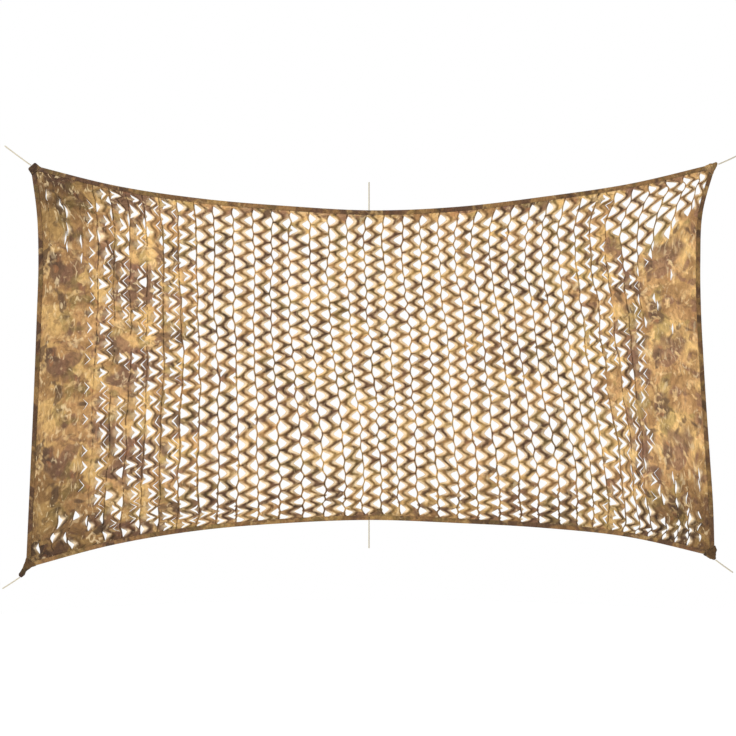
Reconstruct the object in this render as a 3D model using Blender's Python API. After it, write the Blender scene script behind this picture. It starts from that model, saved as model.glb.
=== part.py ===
"""Camouflage net, a stretched panel about 3 m wide and 1.5 m high.

The panel is one cloth cut in staggered rows, so that it opens into columns of zigzag ribbon with a
triangular gap on each side of every bend. A folded tape binds each edge, a tab is sewn over each
corner, and six tie cords pull the panel straight: one from each corner and one from the middle of the
top and of the bottom edge.

The net hangs in the XZ plane with +Z up. The origin is the middle of the top edge.
All sizes are in metres. The gaps are cut at twice the pitch of the real net.
"""

import math

import bmesh
import bpy
from mathutils import Vector, geometry

# The outline, at nine even steps from left to right (top and bottom heights) and from top to bottom
# (left and right places). The first and last rows are the corners.
OUTLINE = (
    # step: top z, bottom z, left x, right x
    (0.199, -1.556, -1.473, 1.509),
    (0.107, -1.456, -1.444, 1.451),
    (0.051, -1.393, -1.438, 1.441),
    (0.019, -1.361, -1.445, 1.444),
    (0.000, -1.347, -1.453, 1.455),
    (0.016, -1.360, -1.462, 1.468),
    (0.060, -1.381, -1.472, 1.483),
    (0.116, -1.421, -1.482, 1.497),
    (0.204, -1.506, -1.492, 1.503),
)
TOP_Z, BOTTOM_Z, LEFT_X, RIGHT_X = range(4)

MERGE = 1e-6

# The cloth and the tape folded over its edge.
CLEARANCE = 0.0003
CLOTH_THICKNESS = 0.002
TAPE_WIDTH = 0.020
TAPE_THICKNESS = 0.005
TAPE_FOLD = 0.0019
TAPE_SLOT = CLOTH_THICKNESS + 2 * CLEARANCE
CLOTH_INSET = TAPE_FOLD + CLEARANCE
FLAT_BORDER = 0.024
TOP_STEPS = 28
SIDE_STEPS = 14

# The cut pattern: groups of columns with the width of one column of the real net, from the left.
COLUMN_GROUPS = (
    # columns, width
    (3, 0.0770),
    (6, 0.0713),
    (6, 0.0796),
    (9, 0.0818),
    (6, 0.0809),
    (7, 0.0766),
)
REAL_ROWS = 23
PITCH_FACTOR = 2
FIRST_LINE = 3
LAST_LINE = 33
ROW_MARGIN = 0.004
GAP_LIMIT = 300
GAP_HALF_HEIGHT = 0.37
GAP_SHAPE = (
    # run from the column's line, rise from the gap's middle; both are shares of the full size
    (0.08, -1.00),
    (0.37, -0.60),
    (0.61, -0.15),
    (0.61, 0.15),
    (0.37, 0.60),
    (0.08, 1.00),
)
# How far the gaps have opened: 1 in the middle of the net, 0 where the cloth is all but shut.
OPENNESS = (
    # share of the width, openness
    (0.00, 0.00),
    (0.07, 0.10),
    (0.13, 0.32),
    (0.19, 0.38),
    (0.25, 0.65),
    (0.40, 0.90),
    (0.53, 1.00),
    (0.62, 0.88),
    (0.68, 0.66),
    (0.75, 0.82),
    (0.82, 0.70),
    (0.87, 0.30),
    (0.93, 0.12),
    (1.00, 0.00),
)
SHUT_WIDTH, SHUT_HEIGHT = 0.50, 0.62
# Single gaps near the corners, where the pull of the cords opens the cloth.
CORNER_GAPS = (
    # centre x, centre z, half width, half height, lean in degrees
    (1.450, 0.118, 0.022, 0.019, -10.0),
    (1.405, 0.150, 0.019, 0.009, 25.0),
    (1.396, 0.096, 0.017, 0.020, 20.0),
    (1.340, 0.088, 0.024, 0.017, 10.0),
    (-1.452, -1.506, 0.010, 0.007, 20.0),
)

CORNER_GAP_SHAPE = ((1.0, 0.0), (0.45, 0.9), (-0.6, 0.8), (-1.0, -0.1), (-0.35, -0.9), (0.6, -0.7))

# The waves that keep the cloth from lying flat.
WAVES = (
    # rise, length along x, length along z, start along x, start along z
    (0.0050, 1.30, 1.70, 0.15, 0.30),
    (0.0030, 0.46, 0.83, 0.60, 0.10),
    (0.0022, 0.21, 0.37, 0.25, 0.70),
)
PUCKER_RISE = 0.0055
PUCKER_LENGTH_X = 0.115
PUCKER_LENGTH_Z = 0.29
PUCKER_SWERVE = 2.0
PUCKER_SWERVE_LENGTH = 1.25
PUCKER_FADE = (0.080, 0.210)
WAVE_FADE = (0.026, 0.110)
PUCKER_COLUMNS = (0.014, 0.034, 0.054, 0.930, 0.952, 0.972)
PUCKER_ROWS = 16

# Where the tape is cut back from each corner, along the top or bottom edge and along the side.
CORNER_CUTS = {
    # corner: (along the edge, along the side)
    "top_left": (0.050, 0.050),
    "top_right": (0.052, 0.052),
    "bottom_left": (0.047, 0.047),
    "bottom_right": (0.047, 0.047),
}
# The tabs: thickness, and the outline beyond the cut as (reach along the pull, offset across it).
CORNER_TABS = {
    "top_left": (0.006, ((0.030, 0.022), (0.034, 0.018), (0.036, -0.018), (0.030, -0.022))),
    "top_right": (
        0.006,
        ((0.030, 0.017), (0.050, 0.006), (0.052, 0.000), (0.050, -0.006), (0.038, -0.010), (0.024, -0.014)),
    ),
    "bottom_left": (
        0.008,
        (
            (0.043, 0.009),
            (0.057, 0.011),
            (0.070, 0.014),
            (0.083, 0.008),
            (0.085, -0.005),
            (0.079, -0.011),
            (0.054, -0.014),
            (0.026, -0.021),
        ),
    ),
    "bottom_right": (
        0.010,
        (
            (0.019, 0.026),
            (0.031, 0.024),
            (0.048, 0.010),
            (0.049, -0.001),
            (0.035, -0.006),
            (0.021, -0.014),
            (0.026, -0.034),
        ),
    ),
}
TAB_BEVEL = 0.0012

# The tie cords.
CORD_DIAMETER = 0.006
CORD_SPACING = 0.015
CORD_SAG = 0.001
CORD_SIDES_RESOLUTION = 2
CORDS = {
    # cord: (start x, start z), (end x, end z)
    "top_left": ((-1.4705, 0.1960), (-1.5850, 0.2810)),
    "top_centre": ((0.0, 0.0008), (0.0, 0.1235)),
    "top_right": ((1.5190, 0.2000), (1.6075, 0.2405)),
    "bottom_left": ((-1.5186, -1.5962), (-1.5950, -1.6456)),
    "bottom_centre": ((0.0, -1.3478), (0.0, -1.4705)),
    "bottom_right": ((1.5070, -1.5204), (1.5834, -1.5756)),
}

CLOTH_TAN = (0.42, 0.28, 0.14)
TAPE_BROWN = (0.16, 0.10, 0.05)
TAB_BROWN = (0.12, 0.07, 0.04)
CORD_CREAM = (0.62, 0.57, 0.48)
CLOTH_ROUGHNESS = 0.85
CORD_ROUGHNESS = 0.75


def clear_scene():
    """Remove every object that the file opened with."""
    for item in list(bpy.data.objects):
        bpy.data.objects.remove(item, do_unlink=True)


def make_material(name, colour, roughness):
    """Return a plain fabric material."""
    material = bpy.data.materials.new(name)
    material.use_nodes = True
    shader = material.node_tree.nodes["Principled BSDF"]
    shader.inputs["Base Color"].default_value = (*colour, 1.0)
    shader.inputs["Roughness"].default_value = roughness
    shader.inputs["Metallic"].default_value = 0.0
    return material


def add_object(name, mesh, material):
    """Link a mesh into the scene as one named piece."""
    mesh.materials.append(material)
    piece = bpy.data.objects.new(name, mesh)
    bpy.context.scene.collection.objects.link(piece)
    return piece


def smooth_step(low, high, value):
    """Rise smoothly from 0 at low to 1 at high."""
    share = min(max((value - low) / (high - low), 0.0), 1.0)
    return share * share * (3.0 - 2.0 * share)


def outline_value(column, share):
    """Read one column of OUTLINE at a share of the way, on a smooth curve through its rows."""
    last = len(OUTLINE) - 1
    place = min(max(share, 0.0), 1.0) * last
    row = min(int(place), last - 1)
    step = place - row
    low, high = OUTLINE[row][column], OUTLINE[row + 1][column]
    before = OUTLINE[row - 1][column] if row > 0 else 2 * low - high
    after = OUTLINE[row + 2][column] if row + 2 <= last else 2 * high - low
    slope_in, slope_out = (high - before) / 2, (after - low) / 2
    square, cube = step * step, step * step * step
    return (
        (2 * cube - 3 * square + 1) * low
        + (cube - 2 * square + step) * slope_in
        + (3 * square - 2 * cube) * high
        + (cube - square) * slope_out
    )


def blend(low, high, share):
    """Mix two values or points."""
    return low + (high - low) * share


def on_net(across, down):
    """Place a point of the panel, given as shares of its width and height, between the four edges."""
    first, last = OUTLINE[0], OUTLINE[-1]
    top = Vector((blend(first[LEFT_X], first[RIGHT_X], across), outline_value(TOP_Z, across)))
    bottom = Vector((blend(last[LEFT_X], last[RIGHT_X], across), outline_value(BOTTOM_Z, across)))
    left = Vector((outline_value(LEFT_X, down), blend(first[TOP_Z], first[BOTTOM_Z], down)))
    right = Vector((outline_value(RIGHT_X, down), blend(last[TOP_Z], last[BOTTOM_Z], down)))
    straight_top = Vector((top.x, blend(first[TOP_Z], last[TOP_Z], across)))
    straight_bottom = Vector((bottom.x, blend(first[BOTTOM_Z], last[BOTTOM_Z], across)))
    return blend(top, bottom, down) + blend(left, right, across) - blend(straight_top, straight_bottom, down)


def net_height(across):
    """Height of the panel at a share of its width."""
    return (on_net(across, 0.0) - on_net(across, 1.0)).length


def net_width(down):
    """Width of the panel at a share of its height."""
    return (on_net(0.0, down) - on_net(1.0, down)).length


def border_point(side, along, depth):
    """Place a point at a depth inside one edge; top and bottom run left to right, sides top to bottom."""
    if side == "top":
        return on_net(along, depth / net_height(along))
    if side == "bottom":
        return on_net(along, 1.0 - depth / net_height(along))
    if side == "left":
        return on_net(depth / net_width(along), along)
    return on_net(1.0 - depth / net_width(along), along)


def side_length(side):
    """Straight length of one side from corner to corner."""
    return (border_point(side, 0.0, 0.0) - border_point(side, 1.0, 0.0)).length


def corner_sides(corner):
    """Return the two sides that meet at a corner, and whether each one ends there."""
    edge, flank = corner.split("_")
    return edge, flank == "right", flank, edge == "bottom"


def cut_share(side, at_end, length):
    """Share along a side that lies a length away from its start or its end."""
    share = length / side_length(side)
    return 1.0 - share if at_end else share


def cut_ends(corner):
    """Return the two outline points that the corner's cut runs between: on the edge, then the side."""
    edge, edge_end, flank, flank_end = corner_sides(corner)
    edge_cut, flank_cut = CORNER_CUTS[corner]
    return (
        border_point(edge, cut_share(edge, edge_end, edge_cut), 0.0),
        border_point(flank, cut_share(flank, flank_end, flank_cut), 0.0),
    )


def cut_point(corner, side, depth):
    """Place a point on the corner's cut, at a depth inside one of its two sides."""
    on_edge, on_flank = cut_ends(corner)
    start, stop = (on_edge, on_flank) if side in ("top", "bottom") else (on_flank, on_edge)
    edge, edge_end, flank, flank_end = corner_sides(corner)
    at_end = edge_end if side == edge else flank_end
    tip = border_point(side, 1.0 if at_end else 0.0, 0.0)
    run = (stop - start).normalized()
    lean = abs(run.cross((tip - start).normalized()))
    return start + run * (depth / lean)


def corners_of(side):
    """Return the names of the corners at the start and the end of a side."""
    if side in ("top", "bottom"):
        return f"{side}_left", f"{side}_right"
    return f"top_{side}", f"bottom_{side}"


def side_points(side, depth):
    """Points along one side at a depth, from one corner's cut to the other's."""
    start, stop = corners_of(side)
    column = 0 if side in ("top", "bottom") else 1
    steps = TOP_STEPS if column == 0 else SIDE_STEPS
    low = cut_share(side, False, CORNER_CUTS[start][column])
    high = cut_share(side, True, CORNER_CUTS[stop][column])
    points = [cut_point(start, side, depth)]
    points += [border_point(side, blend(low, high, step / steps), depth) for step in range(1, steps)]
    points.append(cut_point(stop, side, depth))
    return points


def cloth_edge():
    """The cloth's outline inside the folded tape, as one loop."""
    top, right = side_points("top", CLOTH_INSET), side_points("right", CLOTH_INSET)
    bottom, left = side_points("bottom", CLOTH_INSET), side_points("left", CLOTH_INSET)
    return top + right + bottom[::-1] + left[::-1]


def flat_border():
    """The line inside which the cloth starts to wave, as one loop."""
    loop = []
    for side, steps, backwards in (
        ("top", TOP_STEPS, False),
        ("right", SIDE_STEPS, False),
        ("bottom", TOP_STEPS, True),
        ("left", SIDE_STEPS, True),
    ):
        margin = FLAT_BORDER / side_length(side)
        shares = [blend(margin, 1.0 - margin, step / steps) for step in range(steps)]
        if backwards:
            shares = [1.0 - share for share in shares]
        loop += [border_point(side, share, FLAT_BORDER) for share in shares]
    return loop


def column_lines():
    """Shares of the width at which the real net's vertical lines run."""
    places = [0.0]
    for count, width in COLUMN_GROUPS:
        places += [places[-1] + width * (step + 1) for step in range(count)]
    return [place / places[-1] for place in places]


def openness(across):
    """Read how far the gaps have opened at a share of the width."""
    for (low, low_value), (high, high_value) in zip(OPENNESS, OPENNESS[1:]):
        if across <= high:
            return blend(low_value, high_value, smooth_step(low, high, across))
    return OPENNESS[-1][1]


def gap_loop(line, next_line, row, rows, faces_left):
    """Outline of one gap on a column's left line, or on its right line where it faces left."""
    open_share = openness((line + next_line) / 2)
    width_share = blend(SHUT_WIDTH, 1.0, open_share)
    height_share = blend(SHUT_HEIGHT, 1.0, open_share)
    base_run = GAP_SHAPE[0][0]
    loop = []
    for run, rise in GAP_SHAPE:
        run_share = base_run + (run - base_run) * width_share
        across = blend(next_line, line, run_share) if faces_left else blend(line, next_line, run_share)
        margin = (FLAT_BORDER + ROW_MARGIN) / net_height(across)
        place = (row + rise * height_share * GAP_HALF_HEIGHT) / rows
        loop.append(on_net(across, blend(margin, 1.0 - margin, place)))
    return loop


def corner_gap_loop(centre_x, centre_z, half_width, half_height, lean):
    """Outline of one rounded gap near a corner."""
    along = Vector((math.cos(math.radians(lean)), math.sin(math.radians(lean))))
    upward = Vector((-along.y, along.x))
    centre = Vector((centre_x, centre_z))
    return [
        centre + along * (run * half_width) + upward * (rise * half_height)
        for run, rise in CORNER_GAP_SHAPE
    ]


def loop_area(loop):
    """Signed area of a closed loop, positive where it runs anticlockwise."""
    return sum(a.x * b.y - b.x * a.y for a, b in zip(loop, loop[1:] + loop[:1])) / 2


def anticlockwise(loop):
    """Return the loop, turned round where it runs clockwise."""
    return loop if loop_area(loop) > 0 else loop[::-1]


def chosen_gaps():
    """All gaps that are cut through: those by the corners, then the largest of the pattern."""
    lines = column_lines()[FIRST_LINE : LAST_LINE + 1 : PITCH_FACTOR]
    rows = REAL_ROWS / PITCH_FACTOR
    pattern = []
    for line, next_line in zip(lines, lines[1:]):
        for row in range(int(rows)):
            pattern.append(gap_loop(line, next_line, row + 0.5, rows, False))
            pattern.append(gap_loop(line, next_line, row + 1, rows, True))
    corner = [corner_gap_loop(*values) for values in CORNER_GAPS]
    pattern.sort(key=lambda loop: abs(loop_area(loop)), reverse=True)
    return corner + pattern[: GAP_LIMIT - len(corner)]


def relief(point):
    """How far the cloth stands out from the flat plane at a point."""
    first = OUTLINE[0]
    across = (point.x - first[LEFT_X]) / (first[RIGHT_X] - first[LEFT_X])
    top_z, bottom_z = outline_value(TOP_Z, across), outline_value(BOTTOM_Z, across)
    down = (top_z - point.y) / (top_z - bottom_z)
    from_side = min(point.x - outline_value(LEFT_X, down), outline_value(RIGHT_X, down) - point.x)
    from_edge = min(top_z - point.y, point.y - bottom_z, from_side)
    height = 0.0
    for rise, length_x, length_z, start_x, start_z in WAVES:
        along_x = math.sin(math.tau * (point.x / length_x + start_x))
        height += rise * along_x * math.cos(math.tau * (point.y / length_z + start_z))
    swerve = PUCKER_SWERVE * math.sin(math.tau * point.y / PUCKER_SWERVE_LENGTH)
    fold = math.sin(math.tau * point.x / PUCKER_LENGTH_X + swerve)
    fold *= math.cos(math.tau * point.y / PUCKER_LENGTH_Z)
    height += PUCKER_RISE * fold * (1.0 - smooth_step(*PUCKER_FADE, from_side))
    return height * smooth_step(*WAVE_FADE, from_edge)


def build_cloth(material):
    """The net cloth: one sheet with its gaps cut through, waved and given its thickness."""
    outer = anticlockwise(cloth_edge())
    gaps = [anticlockwise(loop) for loop in chosen_gaps()]
    points, loops = [], []
    for loop in [outer, *gaps]:
        loops.append(list(range(len(points), len(points) + len(loop))))
        points += loop
    border = flat_border()
    first = len(points)
    points += border
    border_edges = [(first + step, first + (step + 1) % len(border)) for step in range(len(border))]
    for across in PUCKER_COLUMNS:
        points += [on_net(across, (row + 0.5) / PUCKER_ROWS) for row in range(PUCKER_ROWS)]
    flat, _, triangles, _, _, owners = geometry.delaunay_2d_cdt(points, border_edges, loops, 0, MERGE, True)

    bm = bmesh.new()
    corners = [bm.verts.new((point.x, relief(point) - CLOTH_THICKNESS / 2, point.y)) for point in flat]
    for triangle, owner in zip(triangles, owners):
        if list(owner) == [0]:
            bm.faces.new([corners[index] for index in triangle])
    loose = [vert for vert in bm.verts if not vert.link_faces]
    bmesh.ops.delete(bm, geom=loose, context="VERTS")
    grown = bmesh.ops.extrude_face_region(bm, geom=bm.faces[:], use_keep_orig=True)
    moved = [item for item in grown["geom"] if isinstance(item, bmesh.types.BMVert)]
    bmesh.ops.translate(bm, verts=moved, vec=(0.0, CLOTH_THICKNESS, 0.0))
    bmesh.ops.recalc_face_normals(bm, faces=bm.faces[:])
    mesh = bpy.data.meshes.new("net_cloth")
    bm.to_mesh(mesh)
    bm.free()
    return add_object("net_cloth", mesh, material)


def sweep(name, sections, material):
    """Join rings of points into one closed solid with flat ends."""
    bm = bmesh.new()
    rings = [[bm.verts.new(point) for point in section] for section in sections]
    for ring, next_ring in zip(rings, rings[1:]):
        for step in range(len(ring)):
            other = (step + 1) % len(ring)
            bm.faces.new((ring[step], ring[other], next_ring[other], next_ring[step]))
    bm.faces.new(rings[0][::-1])
    bm.faces.new(rings[-1])
    bmesh.ops.recalc_face_normals(bm, faces=bm.faces[:])
    mesh = bpy.data.meshes.new(name)
    bm.to_mesh(mesh)
    bm.free()
    return add_object(name, mesh, material)


def build_binding(side, material):
    """The tape folded over one edge: a channel that the cloth's edge sits in."""
    half, slot = TAPE_THICKNESS / 2, TAPE_SLOT / 2
    profile = (
        # depth inside the outline, place through the thickness
        (0.0, -half),
        (0.0, half),
        (TAPE_WIDTH, half),
        (TAPE_WIDTH, slot),
        (TAPE_FOLD, slot),
        (TAPE_FOLD, -slot),
        (TAPE_WIDTH, -slot),
        (TAPE_WIDTH, -half),
    )
    lines = {depth: side_points(side, depth) for depth, _ in profile}
    count = len(lines[0.0])
    sections = [
        [(lines[depth][step].x, through, lines[depth][step].y) for depth, through in profile]
        for step in range(count)
    ]
    return sweep(f"binding_{side}", sections, material)


def build_tab(corner, material):
    """The tab sewn over one corner, beyond the cut ends of the tape and the cloth."""
    on_edge, on_flank = cut_ends(corner)
    edge, edge_end, _, _ = corner_sides(corner)
    tip = border_point(edge, 1.0 if edge_end else 0.0, 0.0)
    across = (on_edge - on_flank).normalized()
    pull = Vector((across.y, -across.x))
    if pull.dot(tip - on_edge) < 0:
        pull.negate()
    middle = (on_edge + on_flank) / 2 + pull * CLEARANCE
    half = (on_edge - on_flank).length / 2
    thickness, rows = CORNER_TABS[corner]
    outline = [middle + across * half]
    outline += [middle + pull * reach + across * offset for reach, offset in rows]
    outline.append(middle - across * half)
    sections = [[(point.x, place, point.y) for point in outline] for place in (-thickness / 2, thickness / 2)]
    tab = sweep(f"corner_tab_{corner}", sections, material)
    bevel = tab.modifiers.new("soft_edges", "BEVEL")
    bevel.width = TAB_BEVEL
    bevel.segments = 1
    return tab


def build_cord(name, start, end, material):
    """One straight tie cord that sags a very little between its ends."""
    start, end = Vector(start), Vector(end)
    steps = max(3, round((end - start).length / CORD_SPACING))
    curve = bpy.data.curves.new(f"tie_cord_{name}", "CURVE")
    curve.dimensions = "3D"
    curve.bevel_depth = CORD_DIAMETER / 2
    curve.bevel_resolution = CORD_SIDES_RESOLUTION
    curve.use_fill_caps = True
    line = curve.splines.new("POLY")
    line.points.add(steps)
    for step, knot in enumerate(line.points):
        share = step / steps
        place = blend(start, end, share)
        level = abs((end - start).normalized().x)
        sag = CORD_SAG * level * 4.0 * share * (1.0 - share)
        knot.co = (place.x, 0.0, place.y - sag, 1.0)
    curve.materials.append(material)
    cord = bpy.data.objects.new(f"tie_cord_{name}", curve)
    bpy.context.scene.collection.objects.link(cord)
    return cord


def main():
    """Build every piece of the net."""
    clear_scene()
    cloth = make_material("camouflage_cloth", CLOTH_TAN, CLOTH_ROUGHNESS)
    tape = make_material("binding_tape", TAPE_BROWN, CLOTH_ROUGHNESS)
    tab = make_material("corner_tape", TAB_BROWN, CLOTH_ROUGHNESS)
    cord = make_material("tie_cord", CORD_CREAM, CORD_ROUGHNESS)
    build_cloth(cloth)
    for side in ("top", "bottom", "left", "right"):
        build_binding(side, tape)
    for corner in CORNER_CUTS:
        build_tab(corner, tab)
    for name, (start, end) in CORDS.items():
        build_cord(name, start, end, cord)


main()
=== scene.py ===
"""Camouflage net: the looks of every piece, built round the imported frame.

The net is one cloth slit in staggered rows and pulled open into columns of zigzag ribbon. A folded tape
binds each edge, a tab closes each corner, and six twisted cords leave the corners and the middles of the
top and bottom edges. The net hangs in the XZ plane with +Z up, and its front faces -Y. All sizes are in
metres, and the colours of finishes are sRGB values from 0 to 255.
"""

import logging
import math
import random
from collections.abc import Callable, Sequence
from dataclasses import dataclass, field
from enum import Enum
from typing import TypeVar

import bmesh
import bpy
from mathutils import Matrix, Vector, noise


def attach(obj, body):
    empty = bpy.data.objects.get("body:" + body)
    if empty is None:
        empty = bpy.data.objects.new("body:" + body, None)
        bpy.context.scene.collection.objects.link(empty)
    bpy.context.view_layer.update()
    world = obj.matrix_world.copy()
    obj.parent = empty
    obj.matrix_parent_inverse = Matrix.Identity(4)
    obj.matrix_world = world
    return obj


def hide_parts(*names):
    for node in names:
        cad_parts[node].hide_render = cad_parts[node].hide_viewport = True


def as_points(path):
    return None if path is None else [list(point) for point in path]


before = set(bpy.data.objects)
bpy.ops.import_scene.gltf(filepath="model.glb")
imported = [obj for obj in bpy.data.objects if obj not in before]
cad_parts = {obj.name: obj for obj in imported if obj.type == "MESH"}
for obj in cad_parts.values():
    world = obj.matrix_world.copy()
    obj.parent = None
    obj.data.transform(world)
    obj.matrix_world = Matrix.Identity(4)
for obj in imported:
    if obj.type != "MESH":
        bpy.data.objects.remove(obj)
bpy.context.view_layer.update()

BODY = "root"
CLOTH_MAP = "cloth_place"
# Marks on the meshes: the painted shade of the net's folds, the painted highlights of its cut edges, its tone
# and the cord's grooves.
FOLD_MARK = "fold_shade"
EDGE_HIGHLIGHT_MARK = "painted_edge_highlight"
TONE_MARK = "tone"
GROOVE_MARK = "groove"
STITCHES_IN_A_RUN = 32
NODES_IN_A_ROW = 8
NODE_SPACING = (200.0, 260.0)
FINE_DETAIL = 3.0
CUT_TOLERANCE = 1e-6
# The powers that the red, green and blue of a shade are raised to, so that darker cloth is warmer.
WARMTH = (1.0, 1.07, 1.20)
WHITE = (1.0, 1.0, 1.0, 1.0)
LOG = logging.getLogger("camouflage_net")

Colour = tuple[float, float, float]
Pair = tuple[float, float]
Triple = tuple[float, float, float]
Table = tuple[Pair, ...]
Rows = tuple[tuple[float, ...], ...]
BMesh = bmesh.types.BMesh
Material = bpy.types.Material
Piece = bpy.types.Object
Socket = bpy.types.NodeSocket
Value = float | Sequence[float] | Socket
VertRows = list[list[bmesh.types.BMVert]]
Mixed = TypeVar("Mixed", float, Vector)


class Side(Enum):
    """The four edges of the panel, in the order of the outline's columns."""

    TOP = "top"
    BOTTOM = "bottom"
    LEFT = "left"
    RIGHT = "right"

    @property
    def is_level(self) -> bool:
        """Whether the edge runs from left to right."""
        return self in (Side.TOP, Side.BOTTOM)


class Facing(Enum):
    """The way in which the point of a gap looks, away from the column's line that it stands on."""

    RIGHT = 0
    LEFT = 1


class Corner(Enum):
    """The four corners, each named after its level edge and its upright edge."""

    TOP_LEFT = (Side.TOP, Side.LEFT)
    TOP_RIGHT = (Side.TOP, Side.RIGHT)
    BOTTOM_LEFT = (Side.BOTTOM, Side.LEFT)
    BOTTOM_RIGHT = (Side.BOTTOM, Side.RIGHT)

    @property
    def label(self) -> str:
        """The corner's name as the nodes spell it."""
        return f"{self.value[0].value}_{self.value[1].value}"

    def is_end(self, side: Side) -> bool:
        """Whether a side that meets here ends here; a side runs rightwards or downwards."""
        edge, flank = self.value
        return flank is Side.RIGHT if side is edge else edge is Side.BOTTOM


def blend(low: Mixed, high: Mixed, share: float) -> Mixed:
    """Mix two numbers or two points."""
    return low + (high - low) * share


def smooth_step(low: float, high: float, value: float) -> float:
    """Rise smoothly from 0 at low to 1 at high."""
    share = min(max((value - low) / (high - low), 0.0), 1.0)
    return share * share * (3.0 - 2.0 * share)


def table_value(rows: Table, place: float) -> float:
    """Read a table of (place, value) rows, smoothly between its rows.

    Args:
        rows: The rows, in rising order of place.
        place: Where to read.

    Returns:
        The value there, and the first or the last one beyond the table's ends.
    """
    if place <= rows[0][0]:
        return rows[0][1]
    for (low, low_value), (high, high_value) in zip(rows, rows[1:]):
        if place <= high:
            return blend(low_value, high_value, smooth_step(low, high, place))
    return rows[-1][1]


def swell(point: Vector, across: float, down: float, layer: float) -> float:
    """Smooth noise from -1 to 1, with a number of swells a metre each way; every layer differs."""
    return noise.noise(Vector((point.x * across, point.y * down, layer)))


def is_within(point: Vector, middle_x: float, middle_z: float, half_width: float, half_height: float) -> bool:
    """Whether a flat point lies inside an upright rectangle."""
    return abs(point.x - middle_x) < half_width and abs(point.y - middle_z) < half_height


def upright(flat: Vector, through: float = 0.0) -> Vector:
    """Stand a flat point up in the frame, at a place through the thickness."""
    return Vector((flat.x, through, flat.y))


def linear(colour: Colour) -> tuple[float, float, float, float]:
    """Turn an sRGB colour from 0 to 255 into the linear colour that a socket takes."""
    shares = [channel / 255.0 for channel in colour]
    toe, slope, offset, power = 0.04045, 12.92, 0.055, 2.4
    values = [s / slope if s <= toe else ((s + offset) / (1.0 + offset)) ** power for s in shares]
    return values[0], values[1], values[2], 1.0


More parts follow.
